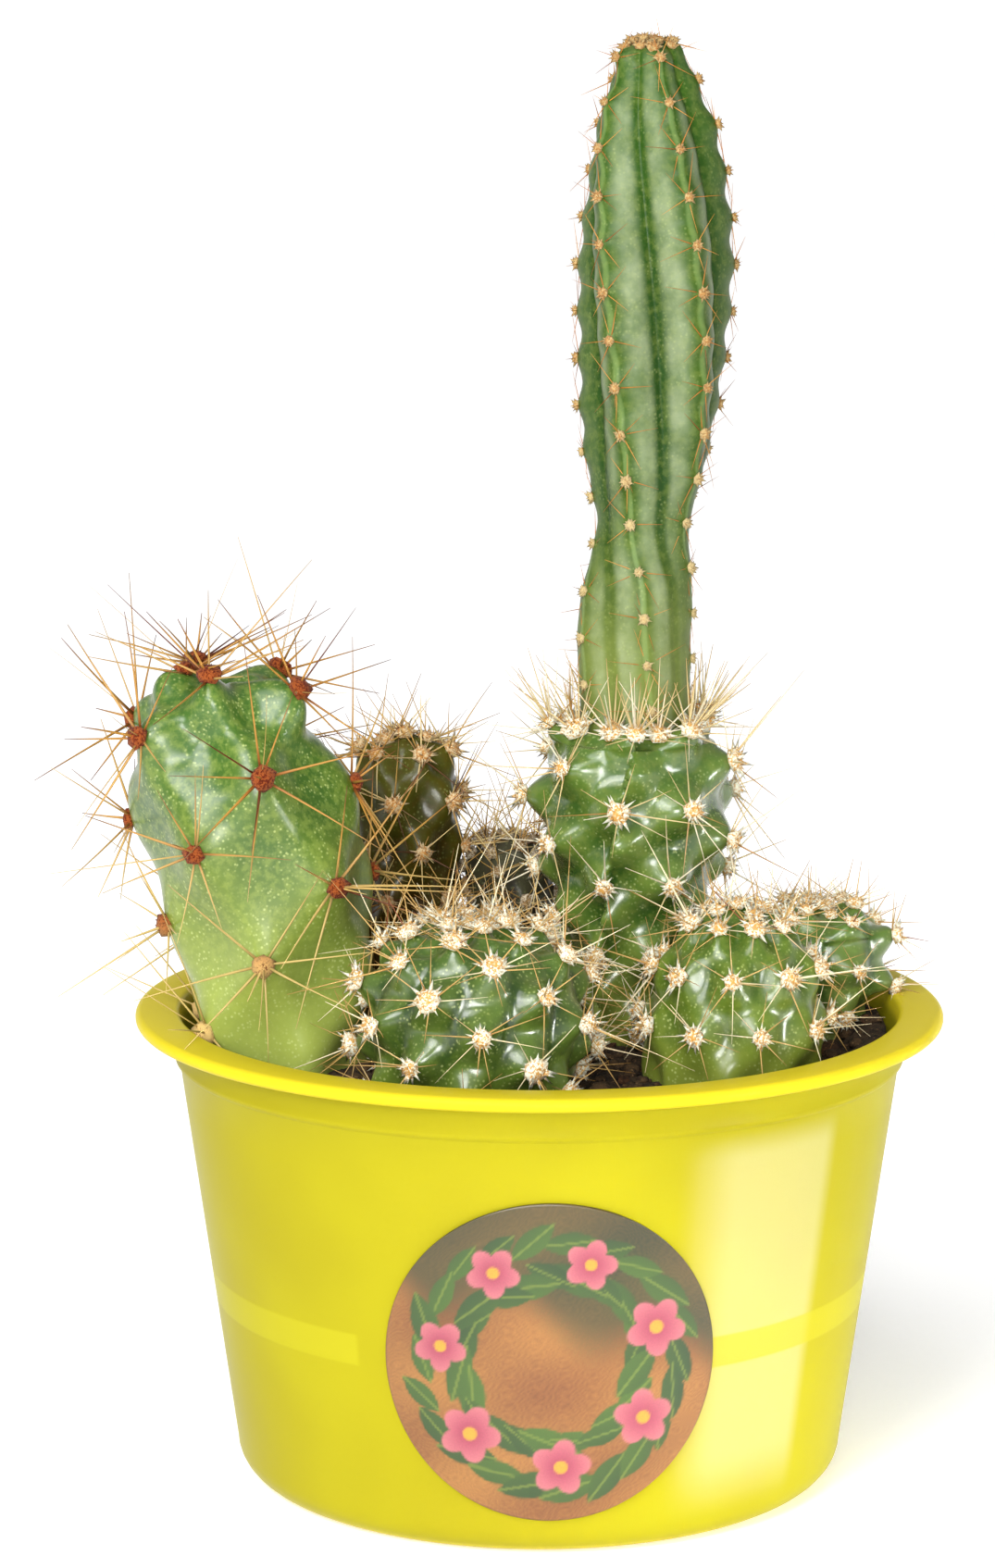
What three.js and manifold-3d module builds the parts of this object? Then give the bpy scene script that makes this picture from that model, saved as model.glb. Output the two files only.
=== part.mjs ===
// Potted cactus arrangement: cacti of several kinds planted together in a round plastic pot with a
// wide flat rim, and a round sticker on its front.
// Millimetres, +Z up. The origin is the middle of the pot's flat underside; the front faces -Y.
import * as THREE from 'three';
import { mergeVertices } from 'three/addons/utils/BufferGeometryUtils.js';
import Module from 'manifold-3d';

const wasm = await Module();
wasm.setup();

// ---------------------------------------------------------------- driving dimensions
const GAP = 0.3; // clearance between pieces that touch

const POT = {
  sides: 48,
  height: 70.5,
  footRadius: 44.7, // outer radius that the tapered wall would have at the ground
  taper: 0.1402, // outward slope of the wall per millimetre of height
  wall: 1.2,
  floor: 1.6,
  corner: 5, // radius of the rounded edge round the floor
  ledgeHeight: 63, // where the collar under the rim steps out
  ledgeStep: 0.6,
  rimInner: 53.7,
  rimOuter: 60,
  rimThickness: 2,
  drainHoles: 6,
  drainRadius: 2,
  drainCircle: 30,
};

const LABEL = { radius: 24, centreX: 1.75, centreZ: 30, thickness: 0.4, rings: 3, sectors: 32 };

const SOIL = { sides: 36, top: 63.6, unevenness: 0.5, holeSides: 14, innerRings: [0.8, 0.55, 0.28] };

// Every cactus is a body with rings of a profile round a centre line. Its skin sinks in the grooves
// between the ribs (`groove`, a share of the radius), between the spine cushions along a rib (`notch`,
// millimetres) and all round each cushion (`knob`, millimetres, growing by `crownKnob` at the crown).
// `centre` holds [height, x, y], `profile` holds [height, radius] up to the shoulder, and the crown above
// it is an arc up to `top`. `pitch` is the distance between two cushions along a rib; neighbouring ribs
// are half a pitch apart. `rowStart` lowers all rows, and `rowTilt` those on the right side. Angles are
// in degrees, from the back round to the right.
const CACTI = [
  {
    name: 'left_cactus',
    colour: '#84a04b',
    centre: [
      [50, -37.4, -8], [66, -37.6, -8], [76, -38.4, -8.2], [86, -39.3, -8.6], [99, -42.2, -9],
      [110, -45.3, -9], [122, -46.6, -9],
    ],
    profile: [
      [52, 12.2], [64, 13.1], [70, 14.1], [76, 14.9], [84, 15.8], [95, 17.1], [104, 17], [111, 15.8],
    ],
    top: 123, crownPower: 0.6, apexDip: 4,
    ribs: 10, perRib: 4, pitch: 29.5, rowStep: 4.9, firstRib: 148, twist: 0.83, rowStart: -5.4, rowTilt: 4.6,
    groove: 0, notch: 0, knob: 2.6, crownKnob: 1.3,
    spines: { outer: 4, outerTilt: 68, inner: 1, innerTilt: 14, length: [10, 24], width: 0.44 },
  },
  {
    name: 'back_left_cactus',
    colour: '#5f7a3a',
    centre: [[50, -21.5, 24], [107, -20.5, 24.5]],
    profile: [[52, 8], [66, 8.6], [84, 9.3], [97, 9.2]],
    top: 107, crownPower: 0.7, apexDip: 0,
    ribs: 12, perRib: 2, pitch: 15, rowStep: 7.5, firstRib: 186, twist: 0.3, rowTilt: 0,
    groove: 0, notch: 0, knob: 2.1, crownKnob: 0,
    spines: { outer: 1, outerTilt: 60, inner: 0, innerTilt: 15, length: [4, 7], width: 0.4 },
  },
  {
    name: 'woolly_cactus',
    colour: '#4f4a2c',
    centre: [[50, -4.8, 27], [91, -4.8, 27]],
    profile: [[52, 6.2], [66, 6.7], [80, 7.1], [84, 7]],
    top: 91, crownPower: 0.8, apexDip: 0,
    ribs: 10, perRib: 2, pitch: 9, rowStep: 4.5, firstRib: 190, twist: 0.3, rowTilt: 0,
    groove: 0.1, notch: 0.9, knob: 0, crownKnob: 0,
    spines: { outer: 1, outerTilt: 58, inner: 0, innerTilt: 15, length: [4, 7], width: 0.4 },
  },
  {
    name: 'front_cactus',
    colour: '#5f7139',
    centre: [[50, -9.2, -28], [89, -9.2, -28]],
    profile: [[52, 14.4], [64, 15.6], [71, 17.1], [76, 17.1]],
    top: 89, crownPower: 0.85, apexDip: 0.8,
    ribs: 12, perRib: 4, pitch: 9.8, rowStep: 4.9, firstRib: 194, twist: 0.9, rowTilt: 0,
    groove: 0.15, notch: 2.5, knob: 0, crownKnob: 0,
    spines: { outer: 2, outerTilt: 64, inner: 1, innerTilt: 20, length: [6, 11], width: 0.42 },
  },
  {
    name: 'stock_cactus',
    colour: '#64783c',
    centre: [[50, 14, 8], [114, 14, 8]],
    profile: [
      [52, 9.6], [66, 10.4], [76, 11.4], [84, 12.9], [90, 14.5], [96, 15.9], [101, 16], [106, 15], [109, 13.8],
    ],
    top: 114, crownPower: 0.7, apexDip: 0,
    ribs: 9, perRib: 4, pitch: 11.6, rowStep: 2.9, firstRib: 178, twist: 0.8, rowStart: 1.4, rowTilt: 0,
    groove: 0.05, notch: 0, knob: 2.9, crownKnob: 0,
    spines: { outer: 2, outerTilt: 62, inner: 1, innerTilt: 18, length: [8, 14], width: 0.42 },
    dimple: { radius: 9.1, floor: 108.5 }, // the seat of the column grafted on top
  },
  {
    name: 'right_cactus',
    colour: '#8c9b58',
    centre: [[50, 28, -18.5], [88, 28.6, -18.5]],
    profile: [[52, 12], [64, 13.2], [69, 13.8], [73, 13.5], [76, 12.5]],
    top: 89.8, crownPower: 1.15, apexDip: 0.6,
    ribs: 18, perRib: 2, pitch: 16, rowStep: 4, firstRib: 182, twist: 0.3, rowTilt: 0,
    groove: 0, notch: 0, knob: 1.8, crownKnob: 0,
    spines: { outer: 2, outerTilt: 64, inner: 1, innerTilt: 20, length: [5, 10], width: 0.42 },
  },
  {
    name: 'right_back_cactus',
    colour: '#4e652c',
    centre: [[50, 41, 10.5], [64, 41.6, 10.5], [87, 42, 10]],
    profile: [[52, 7.4], [63, 8.4], [68, 9.9], [72, 12], [76, 12.1], [79.5, 11.4]],
    top: 83.6, crownPower: 0.7, apexDip: 0.5,
    ribs: 7, perRib: 4, pitch: 7.8, rowStep: 1.95, firstRib: 98, twist: 0.4, rowStart: -2.2, rowTilt: 0,
    groove: 0.22, notch: 2.2, knob: 0, crownKnob: 0,
    spines: { outer: 2, outerTilt: 60, inner: 0, innerTilt: 18, length: [5, 8], width: 0.4 },
  },
  {
    name: 'tall_column',
    colour: '#6d934b',
    centre: [[108.8, 14.2, 8], [123, 13.9, 8], [131, 14.3, 8], [148, 16, 8], [178, 16.8, 8], [212, 15.9, 8]],
    profile: [
      [108.8, 8.4], [123, 8.7], [131, 8.5], [141, 7.2], [149, 9.2], [158, 10.9],
      [170, 11.9], [180, 12.1], [191, 11.1], [200, 9.4], [208, 6],
    ],
    top: 212, crownPower: 0.5, apexDip: 0,
    ribs: 5, perRib: 4, pitch: 6.9, rowStep: 3.45, firstRib: 241, twist: -0.62, rowTilt: 0,
    ribTurn: { from: 131, to: 142, angle: -17 }, // the ribs turn at the waist
    fullRelief: { from: 138, to: 160, share: 0.35 }, // the old growth below the waist is nearly smooth
    groove: 0.28, notch: 0.75, knob: 0, crownKnob: 0,
    spines: { outer: 1, outerTilt: 72, inner: 0, innerTilt: 0, length: [2.4, 4], width: 0.3 },
  },
];

const FLANK = 0.58; // how much of the rib's height is left halfway down its side
const RELIEF_FADE = 0.5; // share of the pitch below whose radius the relief fades out at the apex
const APEX_SHARE = 0.65; // share of the shoulder's radius inside which the apex is sunk
const KNOB_RISE = [18, 6]; // how far below the top the knobs start to grow, and are fully grown
const CROWN_STEPS = 40;
const SIDE_STEPS = 120;
const SPINE_ROOT = 1.1; // how deep a spine's root sits in the body
const SPINE_CLEARANCE = 0.7; // between spines of different plants
const BODY_CLEARANCE = 0.8; // between a spine and anything that it doesn't grow from
const RIM_CLEARANCE = 0.8;
const PLAIN_FOOT = 1.5; // how far above the soil the lowest row of spine cushions stands
const EASES = [0, 0.3, 0.6, 0.9]; // how strongly a spine is bent upward, tried one after the other
const SPINE_CHECKS = [0.25, 0.4, 0.55, 0.7, 0.85, 1]; // shares of a spine's length that have to be clear

// ---------------------------------------------------------------- small helpers
const radians = THREE.MathUtils.degToRad;
const { lerp, smoothstep, clamp } = THREE.MathUtils;

// A repeatable number from 0 to 1 for a whole number and a channel.
function draw(index, channel) {
  const wave = Math.sin(index * 12.9898 + channel * 78.233) * 43758.5453;
  return wave - Math.floor(wave);
}

// A smooth curve through the rows [height, value, ...]: returns the values at a height.
function along(rows, height) {
  const last = rows.length - 1;
  if (height <= rows[0][0]) return rows[0].slice(1);
  if (height >= rows[last][0]) return rows[last].slice(1);
  let i = 0;
  while (height > rows[i + 1][0]) i += 1;
  const before = rows[Math.max(i - 1, 0)];
  const start = rows[i];
  const end = rows[i + 1];
  const after = rows[Math.min(i + 2, last)];
  const span = end[0] - start[0];
  const t = (height - start[0]) / span;
  return start.slice(1).map((value, k) => {
    const column = k + 1;
    const slopeIn = ((end[column] - before[column]) / (end[0] - before[0])) * span;
    const slopeOut = ((after[column] - value) / (after[0] - start[0])) * span;
    return (
      value * (2 * t ** 3 - 3 * t ** 2 + 1) +
      slopeIn * (t ** 3 - 2 * t ** 2 + t) +
      end[column] * (3 * t ** 2 - 2 * t ** 3) +
      slopeOut * (t ** 3 - t ** 2)
    );
  });
}

function toManifold(geometry) {
  const bare = geometry.clone();
  bare.deleteAttribute('normal');
  bare.deleteAttribute('uv');
  const merged = mergeVertices(bare, 1e-5);
  return new wasm.Manifold(new wasm.Mesh({
    numProp: 3,
    vertProperties: new Float32Array(merged.attributes.position.array),
    triVerts: new Uint32Array(merged.index.array),
  }));
}

function toGeometry(solid) {
  const mesh = solid.getMesh();
  const geometry = new THREE.BufferGeometry();
  geometry.setAttribute('position', new THREE.BufferAttribute(new Float32Array(mesh.vertProperties), 3));
  geometry.setIndex(new THREE.BufferAttribute(new Uint32Array(mesh.triVerts), 1));
  geometry.computeVertexNormals();
  return geometry;
}

function namedMesh(name, geometry, colour, roughness) {
  const mesh = new THREE.Mesh(geometry, new THREE.MeshStandardMaterial({ color: colour, roughness }));
  mesh.name = name;
  return mesh;
}

// A solid of revolution round +Z from [radius, height] points that start and end on the axis.
function turned(points, sides) {
  const profile = points.map(([radius, height]) => new THREE.Vector2(radius, height));
  return new THREE.LatheGeometry(profile, sides).rotateX(Math.PI / 2);
}

// An upright cylinder whose flat sides all clear the given radius.
function uprightCylinder(x, y, radius, bottom, top, sides) {
  const outer = radius / Math.cos(Math.PI / sides);
  const cylinder = new THREE.CylinderGeometry(outer, outer, top - bottom, sides).rotateX(Math.PI / 2);
  return cylinder.translate(x, y, (top + bottom) / 2);
}

// ---------------------------------------------------------------- pot, label and soil
const wallRadius = (height) => POT.footRadius + POT.taper * height;
const innerRadius = (height) => wallRadius(height) - POT.wall;

function makePot() {
  const { height, corner, ledgeHeight, ledgeStep, rimInner, rimOuter, rimThickness, wall, floor } = POT;
  const cornerArc = [0, 1, 2, 3].map((step) => {
    const angle = radians(30 * step);
    const reach = corner - corner * Math.sin(angle);
    return [wallRadius(corner) - reach, corner - corner * Math.cos(angle)];
  });
  const lip = rimThickness / 2;
  const lipArc = [-90, -30, 30, 90].map((degrees) => {
    const angle = radians(degrees);
    return [rimOuter - lip + lip * Math.cos(angle), height - lip + lip * Math.sin(angle)];
  });
  const collar = wallRadius(ledgeHeight) + ledgeStep;
  const underRim = height - rimThickness;
  const profile = [
    [0, 0],
    ...cornerArc,
    [wallRadius(ledgeHeight), ledgeHeight],
    [collar, ledgeHeight + ledgeStep],
    [collar + 0.4, underRim],
    ...lipArc,
    [rimInner, height - 0.15],
    [collar - wall, underRim - 1],
    [innerRadius(ledgeHeight), ledgeHeight],
    [innerRadius(corner), corner],
    [innerRadius(corner) - corner + wall, floor],
    [0, floor],
  ];
  let pot = toManifold(turned(profile, POT.sides));
  for (let i = 0; i < POT.drainHoles; i += 1) {
    const angle = (2 * Math.PI * i) / POT.drainHoles;
    const x = POT.drainCircle * Math.cos(angle);
    const y = POT.drainCircle * Math.sin(angle);
    pot = pot.subtract(toManifold(uprightCylinder(x, y, POT.drainRadius, -1, floor + 1, 12)));
  }
  return namedMesh('pot', toGeometry(pot), '#e0d234', 0.32);
}

// The sticker: a thin disc wrapped round the wall, `lift` millimetres off it.
function labelPoint(distance, angle, lift) {
  const z = LABEL.centreZ + distance * Math.sin(angle);
  const radius = wallRadius(z) + lift;
  const turn = (LABEL.centreX + distance * Math.cos(angle)) / radius;
  return [radius * Math.sin(turn), -radius * Math.cos(turn), z];
}

function makeLabel() {
  const { radius, thickness, rings, sectors } = LABEL;
  const positions = [];
  const index = [];
  const layers = [GAP, GAP + thickness];
  const perLayer = 1 + rings * sectors;
  for (const lift of layers) {
    positions.push(...labelPoint(0, 0, lift));
    for (let ring = 1; ring <= rings; ring += 1) {
      for (let j = 0; j < sectors; j += 1) {
        positions.push(...labelPoint((radius * ring) / rings, (2 * Math.PI * j) / sectors, lift));
      }
    }
  }
  const at = (layer, ring, j) =>
    layer * perLayer + (ring === 0 ? 0 : 1 + (ring - 1) * sectors + (j % sectors));
  const face = (layer, a, b, c) => index.push(...(layer ? [a, b, c] : [a, c, b]));
  for (let j = 0; j < sectors; j += 1) {
    for (const layer of [0, 1]) {
      face(layer, at(layer, 0, 0), at(layer, 1, j), at(layer, 1, j + 1));
      for (let ring = 1; ring < rings; ring += 1) {
        face(layer, at(layer, ring, j), at(layer, ring + 1, j), at(layer, ring + 1, j + 1));
        face(layer, at(layer, ring, j), at(layer, ring + 1, j + 1), at(layer, ring, j + 1));
      }
    }
    index.push(at(0, rings, j), at(0, rings, j + 1), at(1, rings, j));
    index.push(at(1, rings, j), at(0, rings, j + 1), at(1, rings, j + 1));
  }
  const geometry = new THREE.BufferGeometry();
  geometry.setAttribute('position', new THREE.Float32BufferAttribute(positions, 3));
  geometry.setIndex(index);
  geometry.computeVertexNormals();
  return namedMesh('round_label', geometry, '#dfe3d0', 0.35);
}

function makeSoil() {
  const bottom = POT.floor + GAP;
  const rim = innerRadius(SOIL.top) - 2 * GAP;
  const profile = [
    [0, bottom],
    [innerRadius(POT.corner) - POT.corner, bottom],
    [innerRadius(POT.corner) - 2 * GAP, POT.corner + 1],
    [rim, SOIL.top],
    ...SOIL.innerRings.map((share) => [rim * share, SOIL.top]),
    [0, SOIL.top],
  ];
  const mound = turned(profile, SOIL.sides);
  const place = mound.attributes.position;
  for (let i = 0; i < place.count; i += 1) {
    if (place.getZ(i) > SOIL.top - 0.01) {
      const wave = Math.sin(place.getX(i) * 0.21) * Math.cos(place.getY(i) * 0.17 + 1);
      place.setZ(i, SOIL.top + SOIL.unevenness * wave);
    }
  }
  let soil = toManifold(mound);
  for (const cactus of CACTI.filter((each) => each.name !== 'tall_column')) {
    const foot = cactus.profile[0][0];
    const [x, y] = along(cactus.centre, foot);
    const hole = uprightCylinder(x, y, holeRadius(cactus), foot - GAP, SOIL.top + 5, SOIL.holeSides);
    soil = soil.subtract(toManifold(hole));
  }
  return namedMesh('soil', toGeometry(soil), '#4b3a24', 0.95);
}

// The planting hole clears the widest and furthest leaning part of the plant below the soil's top.
function holeRadius(cactus) {
  const [footX, footY] = along(cactus.centre, cactus.profile[0][0]);
  let widest = 0;
  for (let z = cactus.profile[0][0]; z <= SOIL.top + SOIL.unevenness; z += 1) {
    const [x, y] = along(cactus.centre, z);
    const [radius] = along(cactus.profile, z);
    widest = Math.max(widest, radius + Math.hypot(x - footX, y - footY));
  }
  return widest + GAP;
}

// ---------------------------------------------------------------- cactus bodies
// The profile from the apex down to the foot, as a chain of [radius, height] with its length so far.
function makeMeridian(cactus) {
  const shoulder = cactus.profile[cactus.profile.length - 1];
  const crownHeight = cactus.top - shoulder[0];
  const chain = [];
  for (let i = 0; i <= CROWN_STEPS; i += 1) {
    const angle = (Math.PI / 2) * (1 - i / CROWN_STEPS);
    const radius = shoulder[1] * Math.cos(angle) ** cactus.crownPower;
    chain.push([radius, shoulder[0] + crownHeight * Math.sin(angle)]);
  }
  chain[0][0] = 0;
  const foot = cactus.profile[0][0];
  for (let i = 1; i <= SIDE_STEPS; i += 1) {
    const height = lerp(shoulder[0], foot, i / SIDE_STEPS);
    chain.push([along(cactus.profile, height)[0], height]);
  }
  let length = 0;
  return chain.map(([radius, height], i) => {
    if (i > 0) length += Math.hypot(radius - chain[i - 1][0], height - chain[i - 1][1]);
    return { radius, height, length };
  });
}

// The point of the profile at a distance from the apex, with its outward direction.
function onMeridian(meridian, distance) {
  let i = 1;
  while (i < meridian.length - 1 && meridian[i].length < distance) i += 1;
  const above = meridian[i - 1];
  const below = meridian[i];
  const share = clamp((distance - above.length) / (below.length - above.length), 0, 1);
  const run = below.length - above.length;
  return {
    radius: lerp(above.radius, below.radius, share),
    height: lerp(above.height, below.height, share),
    out: (above.height - below.height) / run,
    up: (below.radius - above.radius) / run,
  };
}

// How far round the plant a rib stands, in radians, at a height.
function ribAngle(cactus, rib, height) {
  let degrees = cactus.firstRib + (360 * rib) / cactus.ribs + cactus.twist * (cactus.top - height);
  if (cactus.ribTurn) {
    const { from, to, angle } = cactus.ribTurn;
    degrees += angle * (1 - smoothstep(height, from, to));
  }
  return radians(degrees);
}

// How far down a row of cushions hangs at an angle round the plant.
const rowShift = ({ rowStart = 0, rowTilt }, angle) => rowStart + rowTilt * Math.sin(angle);

// How much of the ribs' relief shows at a height.
function reliefAt(cactus, height) {
  if (!cactus.fullRelief) return 1;
  const { from, to, share } = cactus.fullRelief;
  return lerp(share, 1, smoothstep(height, from, to));
}

// How far the skin sinks below the profile.
function sinkAt(cactus, spot, rib, distance) {
  const across = Math.abs(rib - Math.round(rib)) * 2; // 0 on the crest, 1 in the groove
  const crest = across < 0.5 ? lerp(1, FLANK, across * 2) : lerp(FLANK, 0, across * 2 - 1);
  const stagger = (Math.round(rib) % cactus.ribs) % 2 === 0 ? 0 : 0.5;
  const cushion = 0.5 + 0.5 * Math.cos(2 * Math.PI * (distance / cactus.pitch - stagger));
  const swell = 0.5 + 0.5 * Math.cos(Math.PI * rib) * Math.cos((2 * Math.PI * distance) / cactus.pitch);
  const fade = Math.min(1, spot.radius / (RELIEF_FADE * cactus.pitch));
  const widest = cactus.profile[cactus.profile.length - 1][1];
  const apex = Math.max(0, 1 - spot.radius / (APEX_SHARE * widest));
  const grown = smoothstep(spot.height, cactus.top - KNOB_RISE[0], cactus.top - KNOB_RISE[1]);
  const ribbed = spot.radius * cactus.groove * (1 - crest) + cactus.notch * crest * (1 - cushion) * fade;
  const knobbed = cactus.knob * (1 + cactus.crownKnob * grown) * (1 - swell) * fade;
  return ribbed * reliefAt(cactus, spot.height) + knobbed + cactus.apexDip * apex * apex;
}

// A point on the body's skin. `rib` may lie between two whole numbers, `distance` runs from the apex.
function skinPoint(cactus, rib, distance) {
  const spot = onMeridian(cactus.meridian, distance);
  const angle = ribAngle(cactus, rib, spot.height);
  const sink = sinkAt(cactus, spot, rib, distance - rowShift(cactus, angle));
  const radius = spot.radius - sink * spot.out;
  const height = spot.height - sink * spot.up;
  const [x, y] = along(cactus.centre, height);
  return new THREE.Vector3(x + radius * Math.sin(angle), y + radius * Math.cos(angle), height);
}

function makeBody(cactus) {
  const columns = cactus.ribs * cactus.perRib;
  const step = cactus.rowStep;
  const whole = cactus.meridian[cactus.meridian.length - 1].length;
  const soilLine = cactus.meridian.find((spot) => spot.height < SOIL.top - 1)?.length ?? whole;
  const distances = [];
  for (let distance = step; distance < soilLine - step * 0.3; distance += step) distances.push(distance);
  if (soilLine < whole) distances.push(soilLine);
  distances.push(whole);
  const positions = [];
  const index = [];
  for (const distance of distances) {
    for (let j = 0; j < columns; j += 1) {
      const point = skinPoint(cactus, j / cactus.perRib, distance);
      positions.push(point.x, point.y, distance === whole ? cactus.profile[0][0] : point.z);
    }
  }
  const [topX, topY] = along(cactus.centre, cactus.top);
  const [footX, footY] = along(cactus.centre, cactus.profile[0][0]);
  const apex = distances.length * columns;
  positions.push(topX, topY, cactus.top - cactus.apexDip, footX, footY, cactus.profile[0][0]);
  const at = (row, j) => row * columns + (j % columns);
  for (let j = 0; j < columns; j += 1) {
    index.push(apex, at(0, j + 1), at(0, j));
    for (let row = 0; row < distances.length - 1; row += 1) {
      index.push(at(row, j), at(row + 1, j + 1), at(row + 1, j));
      index.push(at(row, j), at(row, j + 1), at(row + 1, j + 1));
    }
    index.push(apex + 1, at(distances.length - 1, j), at(distances.length - 1, j + 1));
  }
  const geometry = new THREE.BufferGeometry();
  geometry.setAttribute('position', new THREE.Float32BufferAttribute(positions, 3));
  geometry.setIndex(index);
  return geometry;
}

// ---------------------------------------------------------------- spines
// Every spine cushion of a plant: where it stands, which way it faces and which way is up along the rib.
function cushions(cactus) {
  const found = [];
  const whole = cactus.meridian[cactus.meridian.length - 1].length;
  for (let rib = 0; rib < cactus.ribs; rib += 1) {
    const start = cactus.pitch * (rib % 2 === 0 ? 1 : 0.5);
    for (let row = start; row < whole; row += cactus.pitch) {
      const level = onMeridian(cactus.meridian, row);
      const distance = row + rowShift(cactus, ribAngle(cactus, rib, level.height));
      const spot = onMeridian(cactus.meridian, distance);
      if (spot.height < SOIL.top + PLAIN_FOOT) break;
      const angle = ribAngle(cactus, rib, spot.height);
      const facing = new THREE.Vector3(spot.out * Math.sin(angle), spot.out * Math.cos(angle), spot.up);
      const side = new THREE.Vector3(Math.cos(angle), -Math.sin(angle), 0);
      const upward = side.clone().cross(facing.normalize());
      found.push({ point: skinPoint(cactus, rib, distance), facing, side, upward });
    }
  }
  return found;
}

// How near two straight spines come to each other, each given by its two ends.
function spineDistance(a, b, c, d) {
  const first = b.clone().sub(a);
  const second = d.clone().sub(c);
  const between = a.clone().sub(c);
  const ff = first.dot(first);
  const ss = second.dot(second);
  const fs = first.dot(second);
  const fb = first.dot(between);
  const sb = second.dot(between);
  const spread = ff * ss - fs * fs;
  let s = spread > 1e-9 ? clamp((fs * sb - fb * ss) / spread, 0, 1) : 0;
  const t = clamp((fs * s + sb) / ss, 0, 1);
  s = clamp((fs * t - fb) / ff, 0, 1);
  return a.clone().addScaledVector(first, s).distanceTo(c.clone().addScaledVector(second, t));
}

// Whether a point keeps clear of the soil, the rim and the bodies of the other plants.
function pointIsFree(point, cactus) {
  if (point.z < SOIL.top + SOIL.unevenness + BODY_CLEARANCE) return false;
  const fromAxis = Math.hypot(point.x, point.y);
  const inside = innerRadius(POT.ledgeHeight) - RIM_CLEARANCE;
  if (point.z < POT.height + RIM_CLEARANCE && fromAxis > inside) return false;
  return CACTI.every((other) => {
    if (other === cactus) return true;
    if (point.z > other.top + BODY_CLEARANCE || point.z < other.profile[0][0] - BODY_CLEARANCE) return true;
    const [x, y] = along(other.centre, point.z);
    const distance = Math.hypot(point.x - x, point.y - y);
    return distance > radiusAt(other, point.z - BODY_CLEARANCE) + BODY_CLEARANCE;
  });
}

function radiusAt(cactus, height) {
  const shoulder = cactus.profile[cactus.profile.length - 1];
  if (height <= shoulder[0]) return along(cactus.profile, height)[0];
  const share = Math.min(1, (height - shoulder[0]) / (cactus.top - shoulder[0]));
  return shoulder[1] * Math.cos(Math.asin(share)) ** cactus.crownPower;
}

// The direction of one spine: tilted away from the way its cushion faces, toward `turn` round it, and
// bent upward by `ease`.
function spineDirection(cushion, tilt, turn, ease) {
  const lean = tilt * (1 - 0.75 * ease);
  const away = cushion.side.clone().multiplyScalar(Math.cos(turn));
  away.addScaledVector(cushion.upward, Math.sin(turn));
  const direction = cushion.facing.clone().multiplyScalar(Math.cos(lean));
  direction.addScaledVector(away, Math.sin(lean));
  direction.z += 0.5 * ease;
  return direction.normalize();
}

// Lays out a plant's spines, each bent clear of what it doesn't grow from, or left out.
function layOutSpines(cactus, seed, taken) {
  const { outer, outerTilt, inner, innerTilt, length, width } = cactus.spines;
  const laid = [];
  const isFree = (root, tip) =>
    SPINE_CHECKS.every((share) => pointIsFree(root.clone().lerp(tip, share), cactus)) &&
    taken.every((other) => spineDistance(root, tip, other.root, other.tip) > SPINE_CLEARANCE);
  cushions(cactus).forEach((cushion, place) => {
    for (let k = 0; k < outer + inner; k += 1) {
      const pick = (channel) => draw(seed * 1000 + place * 17 + k, channel);
      const turn = (2 * Math.PI * (k + 0.6 * pick(1))) / outer + place * 2.4;
      const tilt = radians(k < outer ? outerTilt + 14 * (pick(2) - 0.5) : innerTilt * 2 * pick(2));
      const reach = lerp(length[0], length[1], pick(3));
      const root = cushion.point.clone().addScaledVector(cushion.facing, -SPINE_ROOT);
      for (const ease of EASES) {
        const tip = cushion.point.clone().addScaledVector(spineDirection(cushion, tilt, turn, ease), reach);
        if (!isFree(root, tip)) continue;
        laid.push({ root, tip, width });
        break;
      }
    }
  });
  taken.push(...laid);
  return laid;
}

// A three-sided needle from its root to its tip.
function needle({ root, tip, width }) {
  const reach = root.distanceTo(tip);
  const cone = new THREE.ConeGeometry(width / 2, reach, 3).translate(0, reach / 2, 0);
  const turn = new THREE.Quaternion().setFromUnitVectors(
    new THREE.Vector3(0, 1, 0), tip.clone().sub(root).normalize());
  return cone.applyQuaternion(turn).translate(root.x, root.y, root.z);
}

function makeCactus(cactus, seed, taken) {
  let body = toManifold(makeBody(cactus));
  if (cactus.dimple) {
    const { radius, floor } = cactus.dimple;
    const [x, y] = along(cactus.centre, floor);
    body = body.subtract(toManifold(uprightCylinder(x, y, radius, floor, cactus.top + 5, 20)));
  }
  const needles = layOutSpines(cactus, seed, taken).map((spine) => toManifold(needle(spine)));
  const whole = wasm.Manifold.union([body, ...needles]);
  return namedMesh(cactus.name, toGeometry(whole), cactus.colour, 0.45);
}

// ---------------------------------------------------------------- assembly
const arrangement = new THREE.Group();
arrangement.add(makePot(), makeLabel(), makeSoil());
for (const cactus of CACTI) cactus.meridian = makeMeridian(cactus);
const takenSpines = [];
CACTI.forEach((cactus, seed) => arrangement.add(makeCactus(cactus, seed + 1, takenSpines)));

export default arrangement;
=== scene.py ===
"""Potted cactus arrangement: cacti of several kinds in a yellow plastic pot with a round sticker.

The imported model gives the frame. This script dresses it: the pot is turned with its fine edges, the
soil gets its crumbs, and every cactus gets a finely ribbed skin, wool cushions and curved spines. Sizes
are in millimetres and are scaled to metres where a mesh is written.
"""
import logging
import math
from collections.abc import Callable
from dataclasses import dataclass, field
from enum import Enum
from functools import cached_property, reduce

import bmesh
import bpy
import numpy as np
from bmesh.types import BMesh
from bpy.types import Material, Mesh, NodeSocket, Object
from mathutils import Euler, Matrix, Vector
from numpy.random import Generator


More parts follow.
